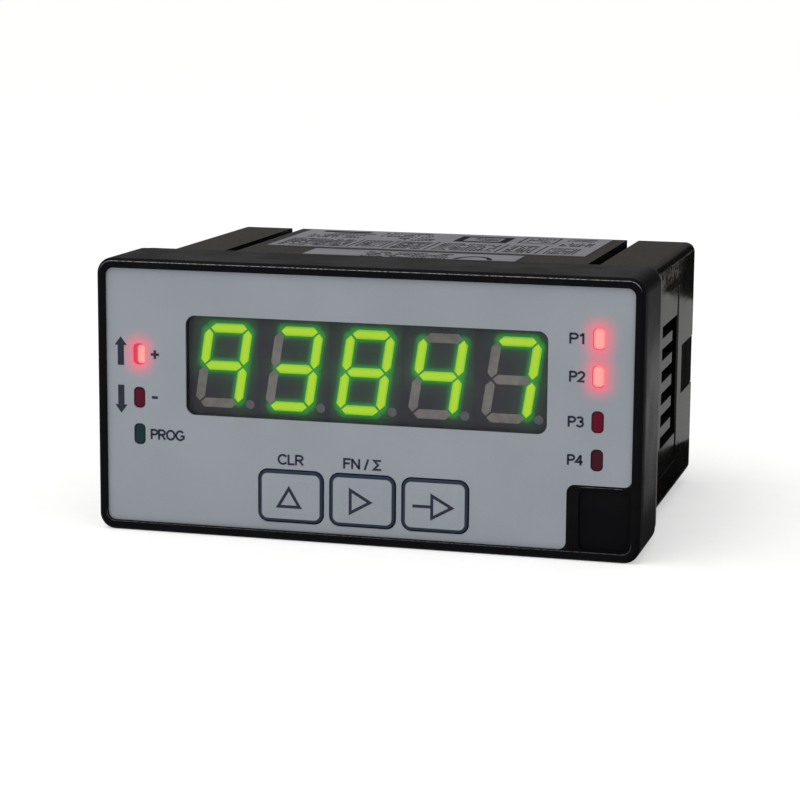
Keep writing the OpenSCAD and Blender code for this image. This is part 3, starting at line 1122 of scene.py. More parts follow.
@dataclass(frozen=True, kw_only=True)
class Metal(Finish):
    """Plated metal with fine tool marks."""

    colour: Rgba
    stain: Rgba
    give: float = 0.08
    metallic: float = 1.0
    edge: float = 0.1
    mark_size: float = 0.2
    mark_stretch: Point = (1.0, 0.2, 1.0)
    stain_size: float = 1.6
    stain_span: Range = (0.45, 0.75)

    def coat(self, shader: Shader) -> None:
        """Adds its nodes.

        Args:
            shader: The shader.
        """
        marks = shader.noise(self.mark_size, detail=3.0, stretch=self.mark_stretch)
        stained = shader.spread(shader.noise(self.stain_size), self.stain_span)
        self.skin(shader, shader.mix(stained, self.colour, self.stain), marks, marks)


@dataclass(frozen=True, kw_only=True)
class BoardLacquer(Finish):
    """Circuit board: green lacquer over a grid of copper runs."""

    lacquer: Rgba
    run: Rgba
    roughness: float = 0.36
    give: float = 0.06
    depth: float = 0.03
    pitch: float = 2.54
    shift: float = 0.5
    run_width: float = 0.08
    run_share: float = 0.8
    cloud_size: float = 0.5

    def coat(self, shader: Shader) -> None:
        """Adds its nodes.

        Args:
            shader: The shader.
        """
        cells = shader.node("ShaderNodeTexBrick", offset=self.shift)
        shader.feed(cells.inputs["Vector"], shader.place())
        cells.inputs["Scale"].default_value = 1.0 / self.pitch
        cells.inputs["Mortar Size"].default_value = self.run_width
        runs = cells.outputs["Fac"]
        colour = shader.mix(shader.product(runs, self.run_share), self.lacquer, self.run)
        self.skin(shader, colour, shader.noise(self.cloud_size), runs)


@dataclass(frozen=True, kw_only=True)
class Laminate(Finish):
    """A stack of thin sheets or turns of tape, with a line at each joint."""

    colour: Rgba
    joint: Rgba
    pitch: float
    along: Axis
    roughness: float = 0.475
    give: float = 0.075
    depth: float = -0.03
    joint_span: Range = (0.36, 0.48)
    cloud_size: float = 0.8

    def coat(self, shader: Shader) -> None:
        """Adds its nodes.

        Args:
            shader: The shader.
        """
        saw = shader.maths("FRACT", shader.maths("DIVIDE", shader.axis(self.along), self.pitch))
        joints = shader.spread(shader.absolute(shader.maths("SUBTRACT", saw, 0.5)), self.joint_span)
        colour = shader.mix(joints, self.colour, self.joint)
        self.skin(shader, colour, shader.noise(self.cloud_size), joints)


@dataclass(frozen=True, kw_only=True)
class Paper(Finish):
    """Plain matt paper with a faint cloud, for the floor and the cards round the part."""

    colour: Rgba
    pale: Rgba
    cloud_size: float
    roughness: float = 1.0

    def coat(self, shader: Shader) -> None:
        """Adds its nodes.

        Args:
            shader: The shader.
        """
        cloud = shader.spread(shader.noise(self.cloud_size, detail=3.0), NOISE_SPAN)
        shader.set({
            "Base Color": shader.mix(cloud, self.colour, self.pale),
            "Roughness": self.roughness,
            "Specular IOR Level": 0.0,
        })


@dataclass(frozen=True, kw_only=True)
class FloorPaper(Paper):
    """Floor paper whose own light thins the shadow that the camera sees."""

    light: float
    lift: float = 0.02

    def coat(self, shader: Shader) -> None:
        """Adds its nodes.

        Args:
            shader: The shader.
        """
        super().coat(shader)
        paper = shader.fed("Base Color")
        path = shader.node("ShaderNodeLightPath")
        seen = shader.maths("ADD", path.outputs["Is Camera Ray"], path.outputs["Is Glossy Ray"])
        seen = shader.maths("ADD", seen, path.outputs["Is Transmission Ray"], clamp=True)
        shader.set({
            "Base Color": shader.mix(shader.product(seen, self.light), paper, BLACK),
            "Emission Color": paper,
            "Emission Strength": shader.product(seen, self.light + self.lift),
        })


# The frame, the drawing of print and the trees


@dataclass(frozen=True)
class Palette:
    """The finishes and colours that several pieces share."""

    film: Rgba = paint(138, 143, 151)
    film_grain: Rgba = paint(132, 137, 144)
    ink: Finish = Ink(name="navy_ink", colour=paint(34, 35, 49), thin=paint(48, 51, 66))
    label: Finish = FoilLabel(
        name="label_foil", colour=paint(101, 101, 107), bright=paint(114, 114, 120)
    )
    label_ink: Finish = Ink(
        name="label_ink", colour=paint(5, 5, 6), thin=paint(14, 14, 16), specular=0.01
    )
    black_part: Finish = MouldedPlastic(
        name="part_plastic", colour=paint(26, 26, 28), rubbed=paint(40, 40, 42),
        roughness=0.5, specular=0.3,
    )
    steel: Finish = Metal(
        name="screw_steel", colour=(0.62, 0.62, 0.6, 1.0), stain=(0.4, 0.39, 0.37, 1.0), roughness=0.32
    )
    board: Finish = BoardLacquer(
        name="board_lacquer", lacquer=paint(20, 78, 48), run=paint(46, 112, 70)
    )


class Workshop:
    """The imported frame, and the ways that pieces are dressed and added to it."""

    def __init__(self) -> None:
        """Loads the frame and keeps the solids' own box."""
        self.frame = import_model()
        self.solid_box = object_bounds()
        self.palette = Palette()
        self._made: dict[str, bpy.types.Material] = {}

    @staticmethod
    def span(node: str) -> tuple[Point, Point]:
        """Box of a solid.

        Args:
            node: The solid's name.

        Returns:
            Its lowest and highest corner, rounded because the frame is in single precision.
        """
        low, high = (tuple(round(value / MM, DECIMALS) for value in corner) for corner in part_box(node))
        return low, high

    def patch(self, node: str, corner: float, foot: float = 0.0) -> Patch:
        """Outline of a solid, seen from the front.

        Args:
            node: The solid's name.
            corner: Radius of the outline's corners.
            foot: How far the solid's wider foot stands out past the outline.

        Returns:
            The outline.
        """
        low, high = self.span(node)
        return Patch.between((low[0] + foot, low[2] + foot), (high[0] - foot, high[2] - foot), corner)

    def material(self, finish: Finish) -> bpy.types.Material:
        """Makes a finish once, and returns the same material after that.

        Args:
            finish: The finish.

        Returns:
            Its material.
        """
        if finish.name not in self._made:
            self._made[finish.name] = finish.make()
        return self._made[finish.name]

    def dress(self, finish: Finish, *nodes: str) -> None:
        """Puts a finish on solids of the frame.

        Args:
            finish: The finish.
            *nodes: Names of the solids.
        """
        material = self.material(finish)
        for name in nodes:
            mesh = self.frame["nodes"][name].data
            mesh.materials.clear()
            mesh.materials.append(material)
            LOG.info("dressed %s with %s", name, finish.name)

    def add(self, mesh: Mesh, finish: Finish, body: str = "counter") -> bpy.types.Object:
        """Adds a piece that rides on a body.

        Args:
            mesh: The piece's mesh, in metres of the part's own frame, with the piece's name.
            finish: Its finish.
            body: The body that carries it.

        Returns:
            The piece's object.
        """
        mesh.materials.clear()
        mesh.materials.append(self.material(finish))
        piece = bpy.data.objects.new(mesh.name, mesh)
        bpy.context.collection.objects.link(piece)
        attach(piece, body)
        LOG.info("added %s with %d faces on %s", piece.name, len(mesh.polygons), body)
        return piece

    def write_sizes(self) -> None:
        """Logs the solids' box and the dressed part's box."""
        boxes = {"cad": self.solid_box, "visual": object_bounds()}
        plain = {key: [[float(value) for value in corner] for corner in box] for key, box in boxes.items()}
        LOG.info("boxes %s", plain)


def arc(middle: Flat, radius: Flat, start: float, end: float, steps: int = 14) -> tuple[Flat, ...]:
    """Points along an elliptic arc.

    Args:
        middle: The arc's middle.
        radius: Its half width and half height.
        start: Where it starts, in degrees anticlockwise from the right.
        end: Where it ends.
        steps: How many steps it has.

    Returns:
        The points.
    """
    turns = (math.radians(start + (end - start) * i / steps) for i in range(steps + 1))
    return tuple(
        (middle[0] + radius[0] * math.cos(turn), middle[1] + radius[1] * math.sin(turn)) for turn in turns
    )


@dataclass(frozen=True)
class Letter:
    """One plain letter: the width of its middle lines, and the lines themselves, one unit high."""

    width: float
    lines: tuple[tuple[Flat, ...], ...]


ROUND = ((0.38, 0.5), (0.38, 0.5))
BOWL = ((0.0, 1.0), *arc((0.3, 0.74), (0.27, 0.26), 90, -90), (0.0, 0.48))
STEM = ((0.0, -0.08), (0.0, 1.08))
TOP_HOOK = (*arc((0.25, 0.77), (0.25, 0.23), 160, -80, 12), (0.22, 0.54))
LOW_HOOK = ((0.22, 0.54), *arc((0.25, 0.27), (0.29, 0.27), 80, -160))
LETTERS: dict[str, Letter] = {
    " ": Letter(0.12, ()),
    "P": Letter(0.57, (STEM, BOWL)),
    "R": Letter(0.6, (STEM, BOWL, ((0.28, 0.48), (0.6, -0.06)))),
    "O": Letter(0.76, (arc(*ROUND, 90, 270, 16), arc(*ROUND, -90, 90, 16))),
    "G": Letter(0.76, ((*arc(*ROUND, 40, 315, 24), (0.74, 0.2), (0.74, 0.44), (0.42, 0.44)),)),
    "C": Letter(0.7, (arc(*ROUND, 38, 322, 24),)),
    "L": Letter(0.48, (((0.0, 1.08), (0.0, 0.0), (0.52, 0.0)),)),
    "F": Letter(0.5, (((0.0, -0.08), (0.0, 1.0), (0.54, 1.0)), ((0.0, 0.52), (0.46, 0.52)))),
    "N": Letter(0.58, (STEM, ((0.0, 1.02), (0.58, -0.02)), ((0.58, -0.08), (0.58, 1.08)))),
    "Σ": Letter(0.6, (((0.6, 1.0), (0.02, 1.0), (0.36, 0.52), (0.0, 0.0), (0.62, 0.0)),)),
    "/": Letter(0.3, (((0.0, -0.1), (0.3, 1.1)),)),
    "1": Letter(0.3, (((0.26, -0.08), (0.26, 1.08)), ((0.26, 1.0), (0.0, 0.78)))),
    "2": Letter(0.54, ((*arc((0.27, 0.72), (0.27, 0.28), 170, -30), (0.3, 0.3), (0.0, 0.0), (0.58, 0.0)),)),
    "3": Letter(0.54, (TOP_HOOK, LOW_HOOK)),
    "4": Letter(0.6, (((0.42, -0.08), (0.42, 1.06)), ((0.42, 1.0), (0.0, 0.3), (0.62, 0.3)))),
}


class Sheet:
    """Thin printed shapes that are drawn flat, then laid on a face of the part."""

    LETTER_GAP = 0.17
    MITRE_LIMIT = 0.35
    WELD = 1e-6

    def __init__(self, thickness: float = 0.025) -> None:
        """Starts an empty drawing of the given thickness."""
        self.mesh = bmesh.new()
        self.thickness = thickness

    def _loops(self, outline: Sequence[Flat]) -> Iterator[Loop]:
        """Adds a loop of points at the bottom and one at the top."""
        levels = (0.0, self.thickness)
        return ([self.mesh.verts.new((x, y, level)) for x, y in outline] for level in levels)

    def _wall(self, low: Loop, high: Loop, inward: bool) -> None:
        """Joins two equal loops with a wall.

        Args:
            low: The lower loop.
            high: The upper loop.
            inward: Whether the wall faces into the loop.
        """
        for i, j in self._sides(low):
            wall = (low[i], low[j], high[j], high[i])
            self.mesh.faces.new(wall[::-1] if inward else wall)

    @staticmethod
    def _sides(loop: Sequence[Any]) -> Iterator[tuple[int, int]]:
        """The numbers of the two points of each side of a loop."""
        return ((i, (i + 1) % len(loop)) for i in range(len(loop)))

    @staticmethod
    def _shift(before: Vector, after: Vector, width: float, limit: float = 0.0) -> Vector:
        """How far a corner moves when the lines that meet at it move to their left.

        Args:
            before: Direction of the line into the corner.
            after: Direction of the line out of it.
            width: How far the lines move.
            limit: What a sharp corner's mitre is held at.

        Returns:
            The corner's move.
        """
        first = Vector((-before.y, before.x))
        second = Vector((-after.y, after.x))
        return (first + second) * (width / max(1.0 + first.dot(second), limit))

    @staticmethod
    def _corners(low: Flat, high: Flat) -> list[Flat]:
        """The four corners of a rectangle, anticlockwise."""
        return [low, (high[0], low[1]), high, (low[0], high[1])]

    def shape(self, outline: Sequence[Flat]) -> None:
        """Adds a filled shape.

        Args:
            outline: Its corners, anticlockwise.
        """
        low, high = self._loops(outline)
        self.mesh.faces.new(high)
        self.mesh.faces.new(low[::-1])
        self._wall(low, high, inward=False)

    def ring(self, outer: Sequence[Flat], inner: Sequence[Flat]) -> None:
        """Adds the band between two loops with the same number of points.

        Args:
            outer: Corners of the outer loop, anticlockwise.
            inner: Corners of the inner loop.
        """
        low_out, high_out = self._loops(outer)
        low_in, high_in = self._loops(inner)
        self._wall(low_out, high_out, inward=False)
        self._wall(low_in, high_in, inward=True)
        for i, j in self._sides(outer):
            self.mesh.faces.new((high_out[i], high_out[j], high_in[j], high_in[i]))
            self.mesh.faces.new((low_out[j], low_out[i], low_in[i], low_in[j]))

    def rectangle(self, low: Flat, high: Flat) -> None:
        """Adds a filled rectangle between two corners."""
        self.shape(self._corners(low, high))

    def frame(self, low: Flat, high: Flat, stroke: float) -> None:
        """Adds the outline of a rectangle between two corners."""
        self.outline(self._corners(low, high), stroke)

    def outline(self, corners: Sequence[Flat], stroke: float) -> None:
        """Adds a closed line along the inside of a convex outline.

        Args:
            corners: The outline's corners, anticlockwise.
            stroke: Width of the line.
        """
        inner: list[Flat] = []
        for i, j in self._sides(corners):
            corner = Vector(corners[i])
            before = (corner - Vector(corners[i - 1])).normalized()
            after = (Vector(corners[j]) - corner).normalized()
            inner.append(tuple(corner + self._shift(before, after, stroke)))
        self.ring(corners, inner)

    def ribbon(self, line: Sequence[Flat], width: float) -> None:
        """Adds a line along a row of points, with square ends.

        Args:
            line: The points.
            width: Width of the line.
        """
        points = [Vector(point) for point in line]
        steps = [(end - start).normalized() for start, end in zip(points, points[1:])]
        turns = zip([steps[0], *steps], [*steps, steps[-1]])
        shifts = [self._shift(before, after, width / 2, self.MITRE_LIMIT) for before, after in turns]
        low_l, high_l = self._loops([tuple(point + shift) for point, shift in zip(points, shifts)])
        low_r, high_r = self._loops([tuple(point - shift) for point, shift in zip(points, shifts)])
        for i in range(len(steps)):
            j = i + 1
            self.mesh.faces.new((high_l[i], high_r[i], high_r[j], high_l[j]))
            self.mesh.faces.new((low_l[j], low_r[j], low_r[i], low_l[i]))
            self.mesh.faces.new((high_r[i], low_r[i], low_r[j], high_r[j]))
            self.mesh.faces.new((high_l[j], low_l[j], low_l[i], high_l[i]))
        self.mesh.faces.new((high_l[0], low_l[0], low_r[0], high_r[0]))
        self.mesh.faces.new((high_r[-1], low_r[-1], low_l[-1], high_l[-1]))

    def words(self, text: str, middle: Flat, size: Flat, stroke: float) -> None:
        """Draws a legend with a pen of even width.

        Args:
            text: The legend.
            middle: Middle of the legend.
            size: Its width and height.
            stroke: Width of the pen.
        """
        total = sum(LETTERS[letter].width for letter in text) + self.LETTER_GAP * (len(text) - 1)
        scale = ((size[0] - stroke) / total, size[1] - stroke)
        x = middle[0] - (size[0] - stroke) / 2
        foot = middle[1] - scale[1] / 2
        for letter in text:
            glyph = LETTERS[letter]
            for line in glyph.lines:
                self.ribbon([(x + px * scale[0], foot + py * scale[1]) for px, py in line], stroke)
            x += (glyph.width + self.LETTER_GAP) * scale[0]

    def take(self, mesh: Mesh, at: Flat) -> None:
        """Adds a flat mesh and removes it from the file.

        Args:
            mesh: The mesh.
            at: Where its own middle goes.
        """
        mesh.transform(Matrix.Translation((at[0], at[1], 0.0)))
        self.mesh.from_mesh(mesh)
        bpy.data.meshes.remove(mesh)

    def laid(self, name: str, place: Matrix) -> Mesh:
        """Turns the drawing into a mesh in metres.

        Args:
            name: The mesh's name.
            place: Where the drawing's own axes lie on the part, in millimetres.

        Returns:
            The mesh.
        """
        bmesh.ops.remove_doubles(self.mesh, verts=self.mesh.verts, dist=self.WELD)
        bmesh.ops.recalc_face_normals(self.mesh, faces=self.mesh.faces)
        self.mesh.transform(Matrix.Scale(MM, 4) @ place)
        mesh = bpy.data.meshes.new(name)
        self.mesh.to_mesh(mesh)
        self.mesh.free()
        return mesh


def front_place(depth: float) -> Matrix:
    """Lays a drawing on a front face at a depth, with its x to the right and its y up."""
    return Matrix.Translation((0.0, depth, 0.0)) @ Matrix.Rotation(QUARTER_TURN, 4, "X")


class Input(Enum):
    """What kind of value an input of a Geometry Nodes tree takes."""

    LENGTH = "NodeSocketFloat"
    COUNT = "NodeSocketInt"
    MATERIAL = "NodeSocketMaterial"


class Tree:
    """A Geometry Nodes tree under construction, with named inputs for its sizes."""

    def __init__(self, name: str) -> None:
        """Starts an empty tree with a geometry output.

        Args:
            name: The tree's name.
        """
        self.tree = bpy.data.node_groups.new(name, "GeometryNodeTree")
        for way in ("INPUT", "OUTPUT"):
            self.tree.interface.new_socket("Geometry", in_out=way, socket_type="NodeSocketGeometry")
        self.entry = self.tree.nodes.new("NodeGroupInput")
        self.exit = self.tree.nodes.new("NodeGroupOutput")
        self.identifiers: dict[str, str] = {}

    def sizes(self, kind: Input, *names: str) -> list[Socket]:
        """Adds named inputs of one kind.

        Args:
            kind: What they take.
            *names: Their names.

        Returns:
            Their sockets inside the tree.
        """
        for name in names:
            item = self.tree.interface.new_socket(name, in_out="INPUT", socket_type=kind.value)
            self.identifiers[name] = item.identifier
        return [self.entry.outputs[name] for name in names]

    def node(self, kind: str, feeds: dict[Any, Any], **settings: Any) -> bpy.types.Node:
        """Adds a node.

        Args:
            kind: The node's type name.
            feeds: Values or sockets for its inputs, by name or number.
            **settings: Properties to set on it.

        Returns:
            The new node.
        """
        made = self.tree.nodes.new(kind)
        for key, value in settings.items():
            setattr(made, key, value)
        for key, value in feeds.items():
            if isinstance(value, bpy.types.NodeSocket):
                self.tree.links.new(value, made.inputs[key])
            else:
                made.inputs[key].default_value = value
        return made

    def finish(self, instances: Socket, material: Socket) -> None:
        """Ends the tree: makes the instances real and sets their material.

        Args:
            instances: The instances.
            material: Their material.
        """
        real = self.node("GeometryNodeRealizeInstances", {0: instances})
        dressed = self.node("GeometryNodeSetMaterial", {"Geometry": real.outputs[0], "Material": material})
        self.tree.links.new(dressed.outputs[0], self.exit.inputs[0])

    def bake(self, values: dict[str, Any]) -> Mesh:
        """Runs the tree with the given inputs.

        Args:
            values: A value for each named input.

        Returns:
            The plain mesh.
        """
        name = self.tree.name
        holder = bpy.data.objects.new(name, bpy.data.meshes.new(name))
        bpy.context.collection.objects.link(holder)
        modifier = holder.modifiers.new(name, "NODES")
        modifier.node_group = self.tree
        for key, value in values.items():
            modifier[self.identifiers[key]] = value
        depsgraph = bpy.context.evaluated_depsgraph_get()
        mesh = bpy.data.meshes.new_from_object(holder.evaluated_get(depsgraph))
        holder.modifiers.remove(modifier)
        bpy.data.objects.remove(holder)
        return mesh


# Sub-assemblies, from the front to the rear


@dataclass
class Indicators:
    """The seven lights beside the window."""

    shop: Workshop
    foot: float = 0.75
    corner: float = 0.75
    left: tuple[str, ...] = ("light_up", "light_down", "light_program")
    right: tuple[str, ...] = ("light_1", "light_2", "light_3", "light_4")
    lit: tuple[str, ...] = ("light_up", "light_1", "light_2")
    lit_colour: Rgba = paint(120, 20, 26)
    lit_edge: Rgba = paint(90, 8, 20)
    core: Rgba = paint(246, 166, 156)
    left_halo: Rgba = paint(214, 60, 88)
    right_halo: Rgba = paint(244, 130, 134)
    left_lean: float = 0.55
    dark: dict[str, Rgba] = field(default_factory=lambda: {
        "light_down": paint(74, 10, 36),
        "light_program": paint(24, 44, 44),
        "light_3": paint(84, 6, 30),
        "light_4": paint(56, 14, 28),
    })
    # Unlit lenses are darker at the edge by this factor: painted shade.
    dark_edge: float = 0.7

    def patch(self, name: str) -> Patch:
        """Outline of one light, seen from the front."""
        return self.shop.patch(name, self.corner, self.foot)

    def lit_patches(self) -> tuple[Patch, ...]:
        """Outlines of the lights that are on."""
        return tuple(self.patch(name) for name in self.lit)

    def lit_lamp(self, name: str) -> LitLamp:
        """Finish of a light that is on; at the left its bright middle is seen off to one side.

        Args:
            name: The light's name.

        Returns:
            The finish.
        """
        at_left = name in self.left
        patch = self.patch(name)
        if at_left:
            middle = (patch.middle[0] + self.left_lean, patch.middle[1])
            patch = Patch(middle, patch.size, patch.corner)
        return LitLamp(
            name=f"{name}_on", colour=self.lit_colour, edge_colour=self.lit_edge, patch=patch,
            core=self.core, halo=self.left_halo if at_left else self.right_halo,
        )

    def dark_lamp(self, name: str) -> Lamp:
        """Finish of a light that is off.

        Args:
            name: The light's name.

        Returns:
            The finish.
        """
        red, green, blue, _ = self.dark[name]
        edge = (self.dark_edge * red, self.dark_edge * green, self.dark_edge * blue, 1.0)
        return Lamp(name=f"{name}_off", colour=self.dark[name], edge_colour=edge, patch=self.patch(name))

    def build(self) -> None:
        """Dresses each light, dark or lit."""
        for name in self.left + self.right:
            finish = self.lit_lamp(name) if name in self.lit else self.dark_lamp(name)
            self.shop.dress(finish, name)


@dataclass(frozen=True)
class Legend:
    """One word printed on the film, with its middle and its width."""

    text: str
    middle: Flat
    width: float


@dataclass
class Overlay:
    """The grey front film and the marks printed on it."""

    shop: Workshop
    lights: Indicators
    corner: float = 1.4
    pad_corner: Flat = (35.4, -11.1)
    blank: Rgba = paint(9, 9, 12)
    glow: Rgba = paint(255, 40, 84)
    arrow_x: float = -43.78
    arrow_width: float = 2.26
    arrow_shaft: float = 1.15
    arrow_head: float = 1.5
    up_arrow: Range = (5.27, 10.3)
    down_arrow: Range = (1.77, -3.19)
    plus: Flat = (-37.5, 7.37)
    plus_arm: float = 0.75
    minus: Flat = (-37.56, -0.18)
    minus_arm: float = 0.55
    stroke: float = 0.46
    pen: float = 0.37
    letter_height: float = 1.92
    legends: tuple[Legend, ...] = (
        Legend("PROG", (-35.25, -6.69), 6.35),
        Legend("CLR", (-12.85, -9.77), 4.76),
        Legend("FN / Σ", (-0.02, -9.82), 6.9),
        Legend("P1", (36.67, 13.6), 2.63),
        Legend("P2", (36.8, 7.22), 2.73),
        Legend("P3", (36.74, -0.38), 2.78),
        Legend("P4", (36.77, -6.85), 2.83),
    )

    def outline(self) -> Patch:
        """Outline of the whole film, seen from the front."""
        return self.shop.patch("front_overlay", self.corner)

    def arrow(self, sheet: Sheet, tail: float, tip: float) -> None:
        """Draws a solid arrow.

        Args:
            sheet: The drawing.
            tail: Height of its tail.
            tip: Height of its tip.
        """
        half = self.arrow_width / 2
        shaft = self.arrow_shaft / 2
        neck = tip - math.copysign(self.arrow_head, tip - tail)
        right = [(shaft, tail), (shaft, neck), (half, neck)]
        left = [(-x, z) for x, z in reversed(right)]
        points = [(self.arrow_x + x, z) for x, z in (*right, (0.0, tip), *left)]
        sheet.shape(points if tip > tail else points[::-1])

    def signs(self, sheet: Sheet) -> None:
        """Draws the plus and the minus.

        Args:
            sheet: The drawing.
        """
        half = self.stroke / 2
        arm = self.plus_arm
        quarter = [(half, -arm), (half, -half), (arm, -half)]
        turned = [(-z, x) for x, z in quarter]
        first_half = quarter + turned
        cross = first_half + [(-x, -z) for x, z in first_half]
        sheet.shape([(self.plus[0] + x, self.plus[1] + z) for x, z in cross])
        x, z = self.minus
        sheet.rectangle((x - self.minus_arm, z - half), (x + self.minus_arm, z + half))

    def marks(self) -> Mesh:
        """Draws the arrows, the signs and the legends.

        Returns:
            The print, laid on the film.
        """
        sheet = Sheet()
        self.arrow(sheet, *self.up_arrow)
        self.arrow(sheet, *self.down_arrow)
        self.signs(sheet)
        for legend in self.legends:
            sheet.words(legend.text, legend.middle, (legend.width, self.letter_height), self.pen)
        return sheet.laid("overlay_print", front_place(self.shop.span("front_overlay")[0][1]))

    def panels(self) -> tuple[Patch, ...]:
        """The film left of the pad, the film above the pad, and the inner corner between them.

        Returns:
            The three panels.
        """
        low, high = self.shop.span("front_overlay")
        x, z = self.pad_corner
        return (
            Patch.between((low[0], low[2]), (x, high[2]), self.corner),
            Patch.between((low[0], z), (high[0], high[2]), self.corner),
            Patch(self.pad_corner, (2 * self.corner, 2 * self.corner), self.corner),
        )

    def build(self) -> None:
        """Dresses the film and adds its print."""
        palette = self.shop.palette
        film = PanelFilm(
            name="overlay_film", colour=palette.film, grain=palette.film_grain, blank=self.blank,
            glow=self.glow, panels=self.panels(), lit=self.lights.lit_patches(),
        )
        self.shop.dress(film, "front_overlay")
        self.shop.add(self.marks(), palette.ink)


@dataclass
class Bezel:
    """The black front frame and the gasket behind it."""

    shop: Workshop
    overlay: Overlay
    corner: float = 2.8
    gasket: Finish = Rubber(
        # The cut colour is a painted highlight on the gasket's sides.
        name="gasket_rubber", colour=paint(20, 20, 22), bloom=paint(40, 39, 39), side_highlight=paint(94, 93, 91)
    )

    def plastic(self) -> BezelPlastic:
        """The frame's finish, which knows where its edges and the lit lights are.

        Returns:
            The finish.
        """
        front = self.shop.span("front_bezel")[0][1]
        return BezelPlastic(
            name="bezel_plastic", colour=paint(5, 5, 8), rubbed=paint(14, 13, 14),
            # The worn colour is the painted highlight along the frame's edges.
            painted_highlight=paint(140, 139, 138), roughness=0.6, specular=0.05, edge=0.2,
            front=front, lit=self.overlay.lights.lit_patches(),
            outer=self.shop.patch("front_bezel", self.corner), inner=self.overlay.outline(),
        )

    def build(self) -> None:
        """Dresses the frame and the gasket."""
        self.shop.dress(self.plastic(), "front_bezel")
        self.shop.dress(self.gasket, "panel_gasket")


@dataclass(frozen=True)
class KeySymbol:
    """A key's outlined triangle, from the key's middle, and the ends of a bar before it."""

    side: Side
    middle: Flat
    size: Flat
    bar: Range | None = None


@dataclass
class Keypad:
    """The three keys with their printed symbols, and the switches behind them."""

    shop: Workshop
    corner: float = 1.6
    stroke: float = 0.52
    border: Rgba = paint(34, 43, 57)
    symbols: dict[str, KeySymbol] = field(default_factory=lambda: {
        "up": KeySymbol(Side.UP, (-0.31, -0.07), (4.71, 3.97)),
        "shift": KeySymbol(Side.RIGHT, (-0.24, -0.17), (4.26, 4.86)),
        "enter": KeySymbol(Side.RIGHT, (1.36, -0.22), (4.26, 4.76), bar=(-3.9, -0.7)),
    })

    def symbol(self, name: str, key: Patch) -> Mesh:
        """Draws the symbol of one key.

        Args:
            name: Which key.
            key: The key's outline.

        Returns:
            The symbol, laid on the key.
        """
        entry = self.symbols[name]
        x, z = (whole + part for whole, part in zip(key.middle, entry.middle))
        half_x, half_z = (length / 2 for length in entry.size)
        left = (x - half_x, z - half_z)
        if entry.side is Side.UP:
            corners = [left, (x + half_x, z - half_z), (x, z + half_z)]
        else:
            corners = [left, (x + half_x, z), (x - half_x, z + half_z)]
        sheet = Sheet()
        sheet.outline(corners, self.stroke)
        if entry.bar is not None:
            start, end = (key.middle[0] + place for place in entry.bar)
            sheet.rectangle((start, z - self.stroke / 2), (end, z + self.stroke / 2))
        return sheet.laid(f"key_{name}_symbol", front_place(self.shop.span(f"key_{name}")[0][1]))

    def build(self) -> None:
        """Dresses the keys, switches and stems, and adds the symbols."""
        palette = self.shop.palette
        for name in self.symbols:
            node = f"key_{name}"
            key = self.shop.patch(node, self.corner)
            film = KeyFilm(
                name=f"{node}_film", colour=palette.film, grain=palette.film_grain,
                key=key, border=self.border,
            )
            self.shop.dress(film, node)
            self.shop.add(self.symbol(name, key), palette.ink, node)
        for part in ("switch", "stem"):
            self.shop.dress(palette.black_part, *(f"{part}_{name}" for name in self.symbols))


@dataclass
class Display:
    """The tinted lens and the five figures behind it."""

    shop: Workshop
    bar_gap: float = 7.0
    bar_width: float = 1.6
    slant: float = 8.5
    point_x: float = 4.75
    point_size: float = 1.6
    figures: tuple[str, ...] = ("ABCFG", "ABCDG", "ABCDEFG", "BCFG", "ABC")
    lens: Finish = TintedLens(
        name="smoked_lens", colour=paint(30, 31, 34), dust=paint(38, 39, 42), alpha=0.28
    )
    face: Rgba = paint(89, 88, 99)
    face_grain: Rgba = paint(79, 78, 89)
    spill: Rgba = paint(26, 220, 40)
    lit_core: Rgba = paint(224, 246, 50)
    lit_rim: Rgba = paint(16, 192, 28)
    unlit: Rgba = paint(190, 186, 180)
    unlit_shade: Rgba = paint(172, 168, 162)
    unlit_point: Rgba = paint(140, 146, 156)

    def middle(self, place: int) -> Flat:
        """Middle of one figure, counted from the left."""
        return self.shop.patch(f"digit_{place + 1}", 0.0).middle

    def half_height(self) -> float:
        """Half the distance between the middle lines of the top and the bottom bar."""
        return (self.shop.patch("unlit_segments", 0.0).size[1] - self.bar_width) / 2

    def points(self) -> tuple[Patch, ...]:
        """Outlines of the decimal points.

        Returns:
            One outline for each figure.
        """
        size = (self.point_size, self.point_size)
        middles = (self.middle(place) for place in range(len(self.figures)))
        feet = ((x + self.point_x, z - self.half_height()) for x, z in middles)
        return tuple(Patch(foot, size, self.point_size / 2) for foot in feet)

    def bars(self, place: int) -> tuple[Line, ...]:
        """Middle lines of the bars that are lit in one figure.

        Args:
            place: Which figure, from the left.

        Returns:
            The ends of each bar, drawn in so that a rounded end fills the pointed one.
        """
        x, z = self.middle(place)
        half_w = self.bar_gap / 2
        half_h = self.half_height()
        lean = math.tan(math.radians(self.slant))
        lines: list[Line] = []
        for name in self.figures[place]:
            start, end = (
                Vector((x + i * half_w + j * half_h * lean, z + j * half_h)) for i, j in Bar[name].value
            )
            step = (end - start).normalized() * self.bar_width / 2
            lines.append((tuple(start + step), tuple(end - step)))
        return tuple(lines)

    def build(self) -> None:
        """Dresses the lens, the digits and their light windows."""
        self.shop.dress(self.lens, "display_window")
        half = self.bar_width / 2
        every: list[Line] = []
        for place in range(len(self.figures)):
            bars = self.bars(place)
            every.extend(bars)
            name = f"digit_{place + 1}"
            face = DigitFace(
                name=f"{name}_face", colour=self.face, grain=self.face_grain, spill=self.spill,
                bars=bars, half_width=half,
            )
            self.shop.dress(face, name)
        lit = LitBars(
            name="lit_green", core=self.lit_core, rim=self.lit_rim, bars=tuple(every), half_width=half
        )
        self.shop.dress(lit, "lit_segments")
        unlit = Diffuser(
            name="unlit_window", colour=self.unlit, shade=self.unlit_shade,
            point_colour=self.unlit_point, points=self.points(),
        )
        self.shop.dress(unlit, "unlit_segments")


